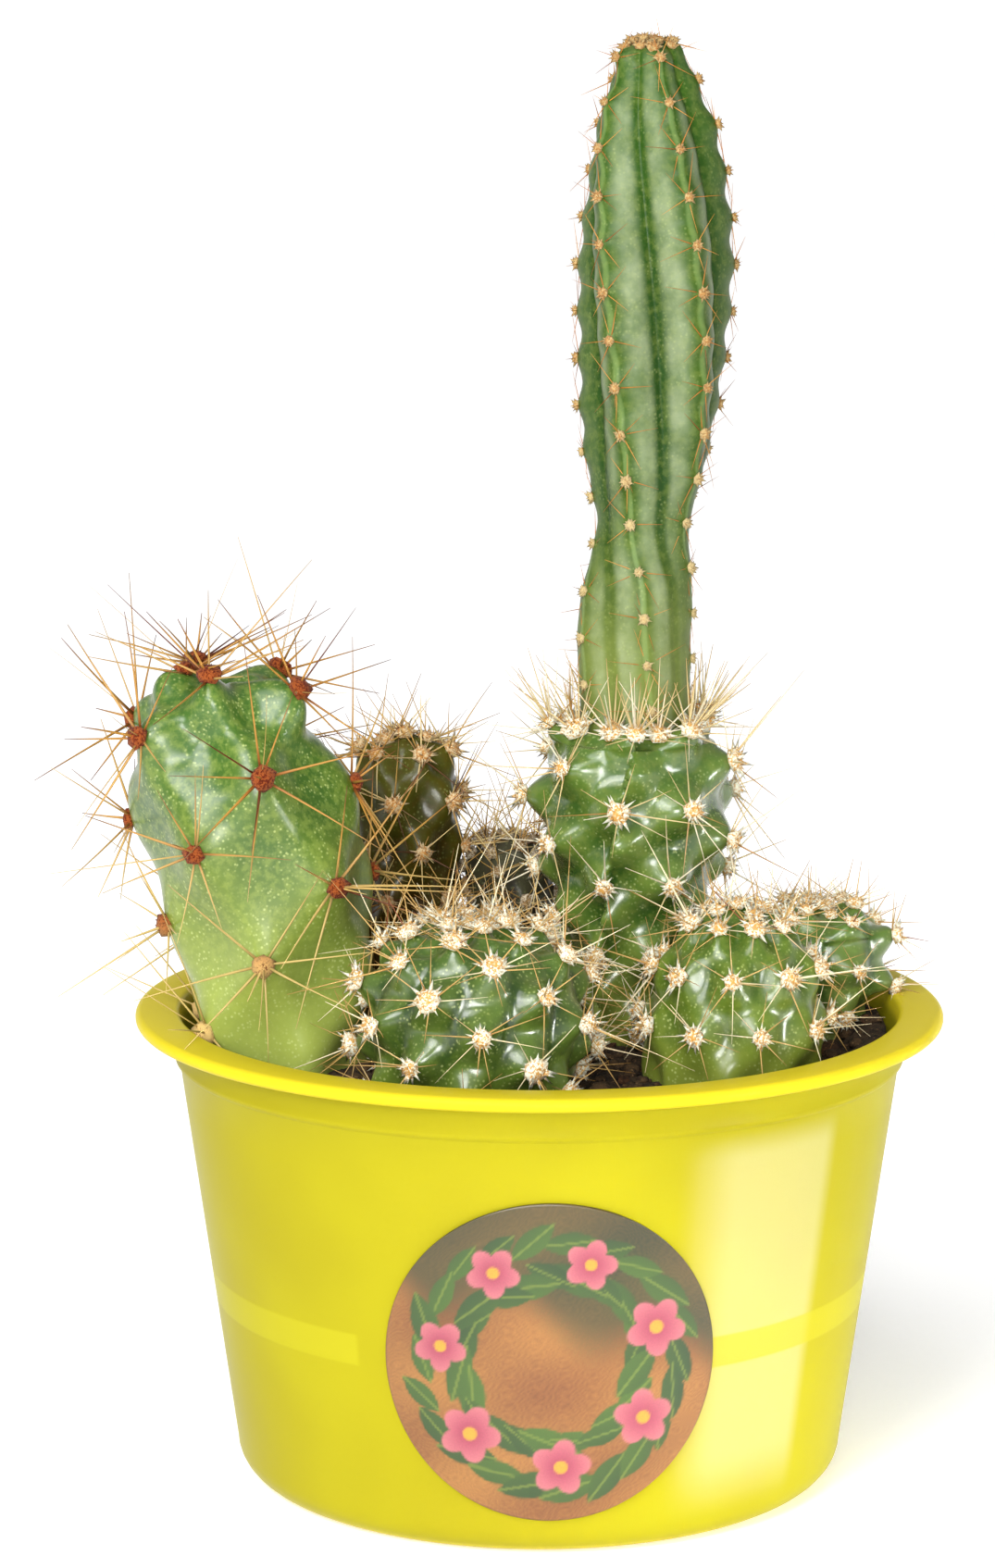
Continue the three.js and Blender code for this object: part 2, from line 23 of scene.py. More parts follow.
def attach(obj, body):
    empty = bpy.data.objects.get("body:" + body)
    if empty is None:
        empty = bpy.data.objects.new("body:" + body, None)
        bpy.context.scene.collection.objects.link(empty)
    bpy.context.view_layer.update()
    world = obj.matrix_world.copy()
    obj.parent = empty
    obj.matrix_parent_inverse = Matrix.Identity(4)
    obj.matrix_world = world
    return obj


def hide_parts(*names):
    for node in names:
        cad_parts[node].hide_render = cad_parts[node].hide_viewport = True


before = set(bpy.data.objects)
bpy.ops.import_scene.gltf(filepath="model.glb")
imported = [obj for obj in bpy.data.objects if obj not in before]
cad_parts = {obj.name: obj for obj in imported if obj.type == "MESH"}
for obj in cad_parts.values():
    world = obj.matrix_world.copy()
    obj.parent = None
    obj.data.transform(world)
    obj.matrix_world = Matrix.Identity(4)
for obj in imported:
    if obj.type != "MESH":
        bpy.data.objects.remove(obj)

LOG = logging.getLogger("arrangement")
MM = 0.001
BODY = "root"
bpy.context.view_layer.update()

GOLDEN_TURN = 0.381966  # the share of a turn between neighbours in a spiral
FULL_SPIN = 6.28  # radians
SOIL_LINE = 63.6  # the soil's middle level
ROOT_DEPTH = 0.3  # how deep in the skin a spine starts
TUFT_KINDS = 4  # how many different tufts a plant has
BENDS = (0.0, 0.8, 1.8, 3.2, 5.5)  # how far spine tips stand off, in root widths
EASES = (0.0, 0.3, 0.6, 0.9)  # how far a spine with no room is turned outwards and up

Array = np.ndarray
Pair = tuple[float, float]
Rows = tuple[tuple[float, ...], ...]


# ---- helpers
def linear(code: str) -> tuple[float, float, float, float]:
    """Turns a screen colour into the linear one that a shader takes.

    Args:
        code: Six hexadecimal digits.

    Returns:
        Red, green, blue and an alpha of 1.
    """
    parts = [int(code[i:i + 2], 16) / 255 for i in (0, 2, 4)]
    return (*[p / 12.92 if p <= 0.04045 else ((p + 0.055) / 1.055) ** 2.4 for p in parts], 1.0)


def rgb(code: str) -> Array:
    """Turns a screen colour into linear red, green and blue."""
    return np.array(linear(code)[:3])


def cover(under: Array, over: Array, share: Array) -> Array:
    """Covers linear colours with a share of others, one share for each place."""
    return under * (1 - share[:, None]) + over * share[:, None]


def blend(codes: tuple[str, str], share: Array) -> Array:
    """Goes from one screen colour to another in linear light, one share for each place."""
    return cover(rgb(codes[0]), rgb(codes[1]), share)


def along(rows: Rows, height: Array) -> list[Array]:
    """Follows a smooth curve through rows of (height, value, ...).

    Args:
        rows: The points that the curve passes through, from low to high.
        height: Where to read it.

    Returns:
        One array for each value in a row.
    """
    table = np.array(rows, float)
    knots = table[:, 0]
    spot = np.clip(np.asarray(height, float), knots[0], knots[-1])
    i = np.clip(np.searchsorted(knots, spot, side="left") - 1, 0, len(knots) - 2)
    before, after = np.maximum(i - 1, 0), np.minimum(i + 2, len(knots) - 1)
    span = knots[i + 1] - knots[i]
    t = (spot - knots[i]) / span
    found = []
    for values in table[:, 1:].T:
        slope_in = (values[i + 1] - values[before]) / (knots[i + 1] - knots[before]) * span
        slope_out = (values[after] - values[i]) / (knots[after] - knots[i]) * span
        found.append(values[i] * (2 * t**3 - 3 * t**2 + 1) + slope_in * (t**3 - 2 * t**2 + t)
                     + values[i + 1] * (3 * t**2 - 2 * t**3) + slope_out * (t**3 - t**2))
    return found


def smoothstep(value: Array, low: float, high: float) -> Array:
    """Rises smoothly from 0 at low to 1 at high."""
    t = np.clip((value - low) / (high - low), 0, 1)
    return t * t * (3 - 2 * t)


def read_points(mesh: Mesh) -> Array:
    """Reads a mesh's vertices.

    Args:
        mesh: The mesh.

    Returns:
        Their places, one in a row, in the mesh's own units.
    """
    flat = np.zeros(len(mesh.vertices) * 3, np.float32)
    mesh.vertices.foreach_get("co", flat)
    return flat.reshape(-1, 3).astype(float)


def write_points(mesh: Mesh, points: Array) -> None:
    """Writes points in millimetres into a mesh's vertices."""
    mesh.vertices.foreach_set("co", (points * MM).astype(np.float32).ravel())
    mesh.update()


def write_attribute(mesh: Mesh, name: str, values: Array) -> None:
    """Stores one number for each vertex under a name that a shader reads."""
    layer = mesh.attributes.new(name, "FLOAT", "POINT")
    layer.data.foreach_set("value", values.astype(np.float32))


def add_object(name: str, data: bpy.types.ID) -> Object:
    """Makes an object and adds it to the scene.

    Args:
        name: The object's name.
        data: The mesh, light or camera that it holds.

    Returns:
        The object.
    """
    made = bpy.data.objects.new(name, data)
    bpy.context.scene.collection.objects.link(made)
    return made


def stamp(shape: BMesh, kind: Mesh, *moves: Matrix, shade: float | None = None) -> None:
    """Adds a moved copy of a small mesh in millimetres to a shape in metres.

    Args:
        shape: What it is added to.
        kind: The small mesh.
        moves: Its moves, the last one first.
        shade: What the copy's UV map takes across, or None to leave the map.
    """
    copy = kind.copy()
    if shade is not None:
        grain = np.zeros(len(copy.loops) * 2, np.float32)
        copy.uv_layers["grain"].data.foreach_get("uv", grain)
        grain[0::2] = shade
        copy.uv_layers["grain"].data.foreach_set("uv", grain)
    whole = Matrix.Scale(MM, 4)
    for move in moves:
        whole = whole @ move
    copy.transform(whole)
    shape.from_mesh(copy)
    bpy.data.meshes.remove(copy)


def discard(meshes: list[Mesh]) -> None:
    """Removes small meshes that have been stamped."""
    for mesh in meshes:
        bpy.data.meshes.remove(mesh)


def mark_grain(shape: BMesh, share: Callable[[Vector], float]) -> None:
    """Writes a UV map whose Y tells how far along a small part each of its points is.

    Args:
        shape: The small part.
        share: Works out how far along it a point is, from 0 to 1.
    """
    layer = shape.loops.layers.uv.new("grain")
    for face in shape.faces:
        for loop in face.loops:
            loop[layer].uv = (0.5, share(loop.vert.co))


def to_mesh(name: str, shape: BMesh) -> Mesh:
    """Turns a finished shape into a smooth mesh.

    Args:
        name: The mesh's name.
        shape: The shape, which is freed.

    Returns:
        The mesh.
    """
    mesh = bpy.data.meshes.new(name)
    shape.to_mesh(mesh)
    shape.free()
    mesh.polygons.foreach_set("use_smooth", [True] * len(mesh.polygons))
    return mesh


def add_piece(name: str, mesh: Mesh, finish: Material, node: str | None = None) -> Object:
    """Adds a piece of the object to the scene.

    Args:
        name: The piece's name.
        mesh: Its mesh, in metres, in place.
        finish: Its material.
        node: The CAD node that it stands for, if it stands for one.

    Returns:
        The new object.
    """
    piece = add_object(name, mesh)
    mesh.materials.append(finish)
    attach(piece, BODY)
    if node:
        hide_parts(node)
    LOG.info("%s: %d faces", name, len(mesh.polygons))
    return piece


def globe_mesh(name: str, columns: int, rows: int) -> tuple[Mesh, Array, Array]:
    """Makes a closed ball to be shaped into a solid round an upright axis.

    Args:
        name: The mesh's name.
        columns: Steps round the axis.
        rows: Steps from the top pole to the bottom one.

    Returns:
        The mesh, and for each vertex its share of a turn and its share of the way down.
    """
    shape = bmesh.new()
    bmesh.ops.create_uvsphere(shape, u_segments=columns, v_segments=rows, radius=1)
    mesh = to_mesh(name, shape)
    points = read_points(mesh)
    turn = np.arctan2(points[:, 0], points[:, 1]) / math.tau % 1.0
    down = np.arccos(np.clip(points[:, 2], -1, 1)) / math.pi
    return mesh, turn, down


class Paint:
    """A material's node tree, written with short calls."""

    def __init__(self, name: str) -> None:
        """Starts a material with a plain Principled shader.

        Args:
            name: The material's name.
        """
        self.material = bpy.data.materials.new(name)
        self.material.use_nodes = True
        self.tree = self.material.node_tree
        self.shader = self.tree.nodes["Principled BSDF"]

    def node(self, kind: str, inputs: dict | None = None, **settings: object) -> bpy.types.Node:
        """Adds a node.

        Args:
            kind: Its type, without the ShaderNode prefix.
            inputs: Values or output sockets for its inputs, by name or number.
            settings: Its own properties.

        Returns:
            The node.
        """
        made = self.tree.nodes.new("ShaderNode" + kind)
        for key, value in settings.items():
            setattr(made, key, value)
        for key, value in (inputs or {}).items():
            self.feed(made.inputs[key], value)
        return made

    def feed(self, socket: NodeSocket, value: object) -> None:
        """Links an output to a socket, or sets the socket's own value.

        Args:
            socket: The input that is fed.
            value: An output, or a plain value.
        """
        if isinstance(value, NodeSocket):
            self.tree.links.new(value, socket)
        else:
            socket.default_value = value

    def place(self) -> NodeSocket:
        """Gives the point's place on the object, in metres."""
        return self.node("TexCoord").outputs["Object"]

    def along(self, axis: str) -> NodeSocket:
        """Gives one coordinate of the point's place on the object, in metres."""
        return self.node("SeparateXYZ", {0: self.place()}).outputs[axis]

    def grain(self, axis: str) -> NodeSocket:
        """Gives one coordinate of the UV map of a spine or a tuft: Y runs from its root to its tip."""
        return self.node("SeparateXYZ", {0: self.node("UVMap", uv_map="grain").outputs["UV"]}).outputs[axis]

    def attribute(self, name: str) -> NodeSocket:
        """Gives a number stored on the mesh."""
        return self.node("Attribute", attribute_name=name).outputs["Fac"]

    def noise(self, scale: float, detail: float = 3, rough: float = 0.55) -> NodeSocket:
        """Gives a cloudy value from 0 to 1, scale in cells per metre."""
        return self.node("TexNoise", {"Vector": self.place(), "Scale": scale, "Detail": detail,
                                      "Roughness": rough}).outputs["Fac"]

    def height(self, low: float, high: float, start: float = 0, end: float = 1) -> NodeSocket:
        """Maps the height above the floor from low..high, in millimetres, to start..end."""
        return self.span(self.along("Z"), low * MM, high * MM, start, end)

    def span(self, value: NodeSocket, low: float, high: float,
             start: float = 0, end: float = 1) -> NodeSocket:
        """Maps a value from low..high to start..end, smoothly and clamped."""
        limits = {"Value": value, "From Min": low, "From Max": high, "To Min": start, "To Max": end}
        return self.node("MapRange", limits, interpolation_type="SMOOTHSTEP").outputs["Result"]

    def math(self, kind: str, *values: object) -> NodeSocket:
        """Does a sum on numbers or sockets."""
        return self.node("Math", dict(enumerate(values)), operation=kind).outputs["Value"]

    def times(self, *factors: object) -> NodeSocket:
        """Multiplies numbers or sockets, one after the other."""
        return reduce(lambda product, factor: self.math("MULTIPLY", product, factor), factors)

    def mix(self, share: object, first: object, second: object) -> NodeSocket:
        """Mixes two colours, given as codes or sockets.

        Args:
            share: How much of the second one there is.
            first: The first colour.
            second: The second colour.

        Returns:
            The mixed colour.
        """
        made = self.node("Mix", data_type="RGBA")
        colours = [linear(c) if isinstance(c, str) else c for c in (first, second)]
        for socket, value in zip((made.inputs[0], made.inputs[6], made.inputs[7]), (share, *colours)):
            self.feed(socket, value)
        return made.outputs[2]

    def layers(self, colour: str, *coats: tuple[object, object]) -> NodeSocket:
        """Lays coats, each a share and a colour, over a colour, the first one lowest."""
        return reduce(lambda under, coat: self.mix(coat[0], under, coat[1]), coats, colour)

    def bump(self, height: NodeSocket, strength: float, distance: float) -> None:
        """Raises the surface by a height, distance in millimetres."""
        made = self.node("Bump", {"Height": height, "Strength": strength, "Distance": distance * MM})
        self.feed(self.shader.inputs["Normal"], made.outputs["Normal"])

    def set(self, **values: object) -> None:
        """Sets shader inputs, with underscores for the spaces in their names."""
        for key, value in values.items():
            self.feed(self.shader.inputs[key.replace("_", " ")], value)


# ---- finishes
@dataclass(frozen=True)
class Plastic:
    """Thin yellow plastic: a moulded stripe round it, a painted highlight band up the wall, and a painted
    glow at foot and rim.

    Heights are in millimetres, and angles in degrees from the front to the right.
    """

    wall: str = "989017"
    shade: str = "908717"
    # The colour of the painted glow at the foot and the rim.
    rim: str = "bdac1f"
    stripe: str = "a19a1d"
    # The colour of the painted highlight band.
    painted_highlight: str = "b4ae8a"
    stripe_middle: float = 29.5
    stripe_half: float = 2.1
    stripe_edge: float = 0.5
    stripe_end: float = -31.0
    stripe_share: float = 0.7
    stripe_rise: float = 4.0
    # Where the painted highlight band stands up the wall, and how strong it is.
    highlight_turn: tuple[float, float, float, float] = (21.0, 33.0, 50.0, 54.0)
    highlight_foot: Pair = (3.0, 14.0)
    highlight_head: Pair = (58.0, 63.0)
    highlight_share: float = 0.38
    # Heights of the painted glow at the foot and the rim.
    foot_glow: Pair = (0.2, 1.6)
    rim_edge: Pair = (67.4, 69.2)

    def make(self) -> Material:
        """Builds the material.

        Returns:
            The material.
        """
        paint = Paint("yellow_plastic")
        turn = paint.math("ARCTAN2", paint.along("X"), paint.times(paint.along("Y"), -1.0))
        start, full, fall, stop = (math.radians(angle) for angle in self.highlight_turn)
        # Painted highlight: a pale band up the wall, a little right of the front, fading out at the foot
        # and the top.
        painted_highlight_mask = paint.times(paint.span(turn, start, full), paint.span(turn, fall, stop, 1, 0),
                            paint.height(*self.highlight_foot), paint.height(*self.highlight_head, 1, 0),
                            self.highlight_share)
        offset = paint.math("ABSOLUTE", paint.math("SUBTRACT", paint.along("Z"), self.stripe_middle * MM))
        band = paint.span(offset, self.stripe_half * MM, (self.stripe_half + self.stripe_edge) * MM, 1, 0)
        half_gap = math.radians(self.stripe_end) / 2
        past = paint.math("ABSOLUTE", paint.math("SUBTRACT", turn, half_gap))
        striped = paint.times(band, paint.span(past, abs(half_gap), abs(half_gap) + 0.02))
        # Painted glow: the plastic is painted brighter at its foot and along its rim.
        edges = paint.math("MAXIMUM", paint.height(*self.foot_glow, 1, 0), paint.height(*self.rim_edge))
        colour = paint.layers(self.shade, (paint.span(paint.noise(28, 2), 0.3, 0.7), self.wall),
                              (painted_highlight_mask, self.painted_highlight), (paint.times(striped, self.stripe_share), self.stripe),
                              (edges, self.rim))
        raised = paint.math("ADD", paint.noise(2600, 2), paint.times(striped, self.stripe_rise))
        paint.bump(raised, 0.1, 0.05)
        paint.set(Base_Color=colour, Roughness=0.34, Specular_IOR_Level=0.03, Subsurface_Weight=0.06,
                  Subsurface_Scale=1.5 * MM, Subsurface_Radius=(1.0, 0.9, 0.1))
        return paint.material


@dataclass(frozen=True)
class Sticker:
    """Coated paper that takes its printed colours from the mesh."""

    grime: str = "302719"
    grime_share: float = 0.12

    def make(self) -> Material:
        """Builds the material.

        Returns:
            The material.
        """
        paint = Paint("printed_sticker")
        printed = paint.node("Attribute", attribute_name="print").outputs["Color"]
        specks = paint.span(paint.noise(5200, 2), 0.35, 0.65, 0, self.grime_share)
        paint.set(Base_Color=paint.mix(specks, printed, self.grime), Roughness=0.42, Coat_Weight=0.25,
                  Coat_Roughness=0.3)
        return paint.material


@dataclass(frozen=True)
class PottingMix:
    """Dark, damp potting mix."""

    name: str
    dark: str = "160d08"
    mid: str = "3d2e1d"
    light: str = "6c5439"

    def make(self) -> Material:
        """Builds the material.

        Returns:
            The material.
        """
        paint = Paint(self.name)
        colour = paint.layers(self.dark, (paint.span(paint.noise(420, 5, 0.7), 0.35, 0.62), self.mid),
                              (paint.span(paint.noise(1500, 2), 0.62, 0.72, 0, 0.8), self.light))
        paint.bump(paint.noise(1800, 4, 0.7), 0.9, 0.5)
        paint.set(Base_Color=colour, Roughness=0.85, Specular_IOR_Level=0.3)
        return paint.material


@dataclass(frozen=True)
class Skin:
    """Waxy cactus skin: painted shade in the grooves, paler low down, freckled, bloom with painted sheen at
    the front.

    The pattern scales are in cells per metre; the painted sheen fades in millimetres back from the pot's
    middle.
    """

    name: str
    crest: str
    groove: str
    low: str
    young: str
    low_reach: float = 0.45
    freckles: float = 0.3
    roughness: float = 0.3
    wax_and_sheen: float = 0.0
    edge_line: float = 0.0
    mottle: float = 0.2
    grain: float = 0.25
    gloss: float = 0.6
    coat_roughness: float = 0.21
    sheen: float = 0.2
    wax_and_sheen_colour: str = "9fa887"
    line_colour: str = "8aa265"
    freckle_colour: str = "b2bb77"
    sheen_reach: Pair = (0.5, 4.5)
    cloud_scale: float = 95.0
    grain_scale: float = 780.0
    streak_scale: float = 160.0
    freckle_scale: float = 1500.0
    patch_scale: float = 260.0
    pore_scale: float = 1100.0

    def make(self) -> Material:
        """Builds the material.

        Returns:
            The material.
        """
        paint = Paint(self.name)
        crest, rise = paint.attribute("crest"), paint.attribute("rise")
        # Painted shade: the groove colour darkens the skin towards the grooves and between the knobs.
        coats = [(paint.span(crest, 0.0, 0.7), self.crest),
                 (paint.span(rise, 0.0, self.low_reach, 0.9, 0), self.low),
                 (paint.span(rise, 0.6, 1.0, 0, 0.85), self.young),
                 (paint.span(paint.noise(self.cloud_scale), 0.34, 0.7, 0, self.mottle), self.groove),
                 (paint.span(paint.noise(self.grain_scale, 3, 0.65), 0.4, 0.66, 0, self.grain), self.low)]
        if self.wax_and_sheen:
            # Wax bloom on the rib flanks, strongest towards the front of the pot: partly the skin's own
            # wax, partly a painted sheen.
            flank = paint.times(paint.span(crest, 0.12, 0.4), paint.span(crest, 0.6, 0.95, 1, 0))
            streak = paint.span(paint.noise(self.streak_scale, 4, 0.6), 0.3, 0.7, 0.35, 1)
            near, far = self.sheen_reach
            front = paint.span(paint.along("Y"), near * MM, far * MM, 1, 0.15)
            coats.append((paint.times(flank, streak, paint.times(front, self.wax_and_sheen)), self.wax_and_sheen_colour))
        if self.edge_line:
            coats.append((paint.span(crest, 0.93, 0.99, 0, self.edge_line), self.line_colour))
        dots = paint.node("TexVoronoi", {"Vector": paint.place(), "Scale": self.freckle_scale})
        spots = paint.span(dots.outputs["Distance"], 0.1, 0.4, self.freckles, 0)
        patchy = paint.span(paint.noise(self.patch_scale, 2), 0.4, 0.62, 0.15, 1)
        coats.append((paint.times(spots, patchy), self.freckle_colour))
        pores = paint.noise(self.pore_scale, 3, 0.5)
        paint.bump(paint.math("ADD", pores, paint.times(spots, 0.5)), 0.16, 0.1)
        paint.set(Base_Color=paint.layers(self.groove, *coats), Roughness=self.roughness,
                  Specular_IOR_Level=self.sheen, Subsurface_Weight=0.08, Subsurface_Scale=1.4 * MM,
                  Subsurface_Radius=(0.7, 1.0, 0.25), Coat_Weight=self.gloss,
                  Coat_Roughness=self.coat_roughness)
        return paint.material


@dataclass(frozen=True)
class Needle:
    """Horny spine colour from root to tip, with a shade of its own for each spine.

    The spines that grow low on the plant, below a band of heights, take a colour of their own.
    """

    name: str
    root: str
    shaft: str
    tip: str
    other: str
    rare: str
    low: str
    low_band: Pair = (0.0, 1.0)

    def make(self) -> Material:
        """Builds the material.

        Returns:
            The material.
        """
        paint = Paint(self.name)
        share, shade = paint.grain("Y"), paint.grain("X")
        high = paint.layers(self.root, (paint.span(share, 0.05, 0.35), self.shaft),
                            (paint.span(share, 0.5, 1.0), self.tip),
                            (paint.span(shade, 0.45, 0.62), self.other))
        colour = paint.layers(self.low, (paint.height(*self.low_band), high),
                              (paint.span(shade, 0.86, 0.9), self.rare))
        paint.set(Base_Color=colour, Roughness=0.42, Specular_IOR_Level=0.3, Subsurface_Weight=0.1,
                  Subsurface_Scale=0.3 * MM, Subsurface_Radius=(1.0, 0.7, 0.4))
        return paint.material


@dataclass(frozen=True)
class Wool:
    """Felted wool of a spine cushion: a deep heart that pales towards the hairs, paler low down."""

    name: str
    heart: str
    hair: str
    low: str
    low_band: Pair = (0.0, 1.0)
    heart_edge: Pair = (0.34, 0.6)
    patchiness: float = 0.16
    low_edge: Pair = (0.1, 0.4)

    def make(self) -> Material:
        """Builds the material.

        Returns:
            The material.
        """
        paint = Paint(self.name)
        patches = paint.span(paint.noise(3000, 2, 0.6), 0.35, 0.65, -self.patchiness, self.patchiness)
        reach = paint.math("ADD", paint.grain("Y"), patches)
        colour = paint.mix(paint.span(reach, *self.heart_edge), self.heart, self.hair)
        faded = paint.mix(paint.span(reach, *self.low_edge), self.heart, self.low)
        paint.bump(paint.noise(5200, 3, 0.7), 0.8, 0.2)
        paint.set(Base_Color=paint.mix(paint.height(*self.low_band), faded, colour), Roughness=0.9,
                  Specular_IOR_Level=0.1, Sheen_Weight=0.05)
        return paint.material


# ---- pot and contents
@dataclass
class Pot:
    """The turned plastic pot: tapered wall, ledge, collar and a wide flat rim.

    Steps along an edge are pairs of how far out and how far up each corner stands.
    """

    sides: int = 192
    height: float = 70.5
    foot_radius: float = 44.7
    taper: float = 0.1402
    wall: float = 1.2
    floor: float = 1.6
    corner: float = 5.0
    ledge_height: float = 63.0
    ledge_step: float = 0.6
    ledge_rounding: float = 0.4
    ledge_edge: Rows = ((-0.35, 0.0), (0.05, 0.35), (0.1, 0.9), (-0.1, 1.4))
    rim_inner: float = 53.7
    rim_outer: float = 60.0
    rim_thickness: float = 2.0
    rim_foot: Rows = ((0.4, -0.5), (0.9, 0.0))
    rim_edge: Rows = ((0.5, 0.0), (0.0, -0.15), (-0.3, -0.7))
    drain_holes: int = 6
    drain_radius: float = 2.0
    drain_circle: float = 30.0
    drill_length: float = 6.0

    def wall_radius(self, height: float | Array) -> float | Array:
        """Gives the outside radius of the tapered wall at a height."""
        return self.foot_radius + self.taper * height

    def inner_radius(self, height: float | Array) -> float | Array:
        """Gives the inside radius of the tapered wall at a height."""
        return self.wall_radius(height) - self.wall

    @staticmethod
    def rounded(wall: float, foot: float, size: float, angles: Array) -> list[Pair]:
        """Rounds the corner between a wall and a foot, with the angles from the foot up."""
        return [(wall - size * (1 - math.sin(a)), foot + size * (1 - math.cos(a))) for a in angles]

    @staticmethod
    def stepped(radius: float, height: float, steps: Rows) -> list[Pair]:
        """Lists the corners that stand steps away from a place on the section."""
        return [(radius + out, height + up) for out, up in steps]

    def outline(self) -> list[Pair]:
        """Works out the section's corners.

        Returns:
            The corners as (radius, height), from the axis below to the axis above.
        """
        quarter, lip = math.pi / 2, self.rim_thickness / 2
        under = self.height - self.rim_thickness
        collar = self.wall_radius(self.ledge_height) + self.ledge_step
        heights = np.linspace(self.corner, self.ledge_height - self.ledge_rounding, 12)[1:]
        lip_round = [(self.rim_outer - lip + lip * math.cos(a), self.height - lip + lip * math.sin(a))
                     for a in np.linspace(-quarter, quarter, 11)]
        return [(0, 0),
                *self.rounded(self.wall_radius(self.corner), 0, self.corner, np.linspace(0, quarter, 9)),
                *[(self.wall_radius(z), z) for z in heights],
                *self.stepped(collar, self.ledge_height, self.ledge_edge),
                *self.stepped(collar, under, self.rim_foot),
                *lip_round,
                *self.stepped(self.rim_inner, self.height, self.rim_edge),
                (collar - self.wall, under - 1),
                (self.inner_radius(self.ledge_height), self.ledge_height),
                *self.rounded(self.inner_radius(self.corner), self.floor, self.corner - self.wall,
                              np.linspace(quarter, 0, 6)),
                (0, self.floor)]

    def build(self) -> None:
        """Turns the section, drills the drain holes and adds the pot."""
        shape = bmesh.new()
        corners = [shape.verts.new((r * MM, 0, z * MM)) for r, z in self.outline()]
        edges = [shape.edges.new(pair) for pair in zip(corners, corners[1:])]
        bmesh.ops.spin(shape, geom=[*corners, *edges], axis=(0, 0, 1), cent=(0, 0, 0),
                       angle=math.tau, steps=self.sides, use_merge=True)
        bmesh.ops.remove_doubles(shape, verts=shape.verts, dist=0.001 * MM)
        bmesh.ops.recalc_face_normals(shape, faces=shape.faces)
        mesh = self.drill(to_mesh("pot_blank", shape))
        add_piece("turned_pot", mesh, Plastic().make(), "pot")

    def drill(self, mesh: Mesh) -> Mesh:
        """Cuts the drain holes out of the floor.

        Args:
            mesh: The turned pot.

        Returns:
            A new mesh with the holes.
        """
        drills = bmesh.new()
        for i in range(self.drain_holes):
            turn = math.tau * i / self.drain_holes
            spot = Vector((math.cos(turn), math.sin(turn), 0)) * self.drain_circle * MM
            bmesh.ops.create_cone(drills, cap_ends=True, segments=24, radius1=self.drain_radius * MM,
                                  radius2=self.drain_radius * MM, depth=self.drill_length * MM,
                                  matrix=Matrix.Translation(spot))
        cutter, blank = add_object("drills", to_mesh("drills", drills)), add_object("pot_blank", mesh)
        cut = blank.modifiers.new("drain_holes", "BOOLEAN")
        cut.object, cut.operation, cut.solver = cutter, "DIFFERENCE", "EXACT"
        graph = bpy.context.evaluated_depsgraph_get()
        drilled = bpy.data.meshes.new_from_object(blank.evaluated_get(graph))
        for item in (cutter, blank):
            bpy.data.objects.remove(item)
        drilled.name = "turned_pot"
        drilled.polygons.foreach_set("use_smooth", [True] * len(drilled.polygons))
        return drilled


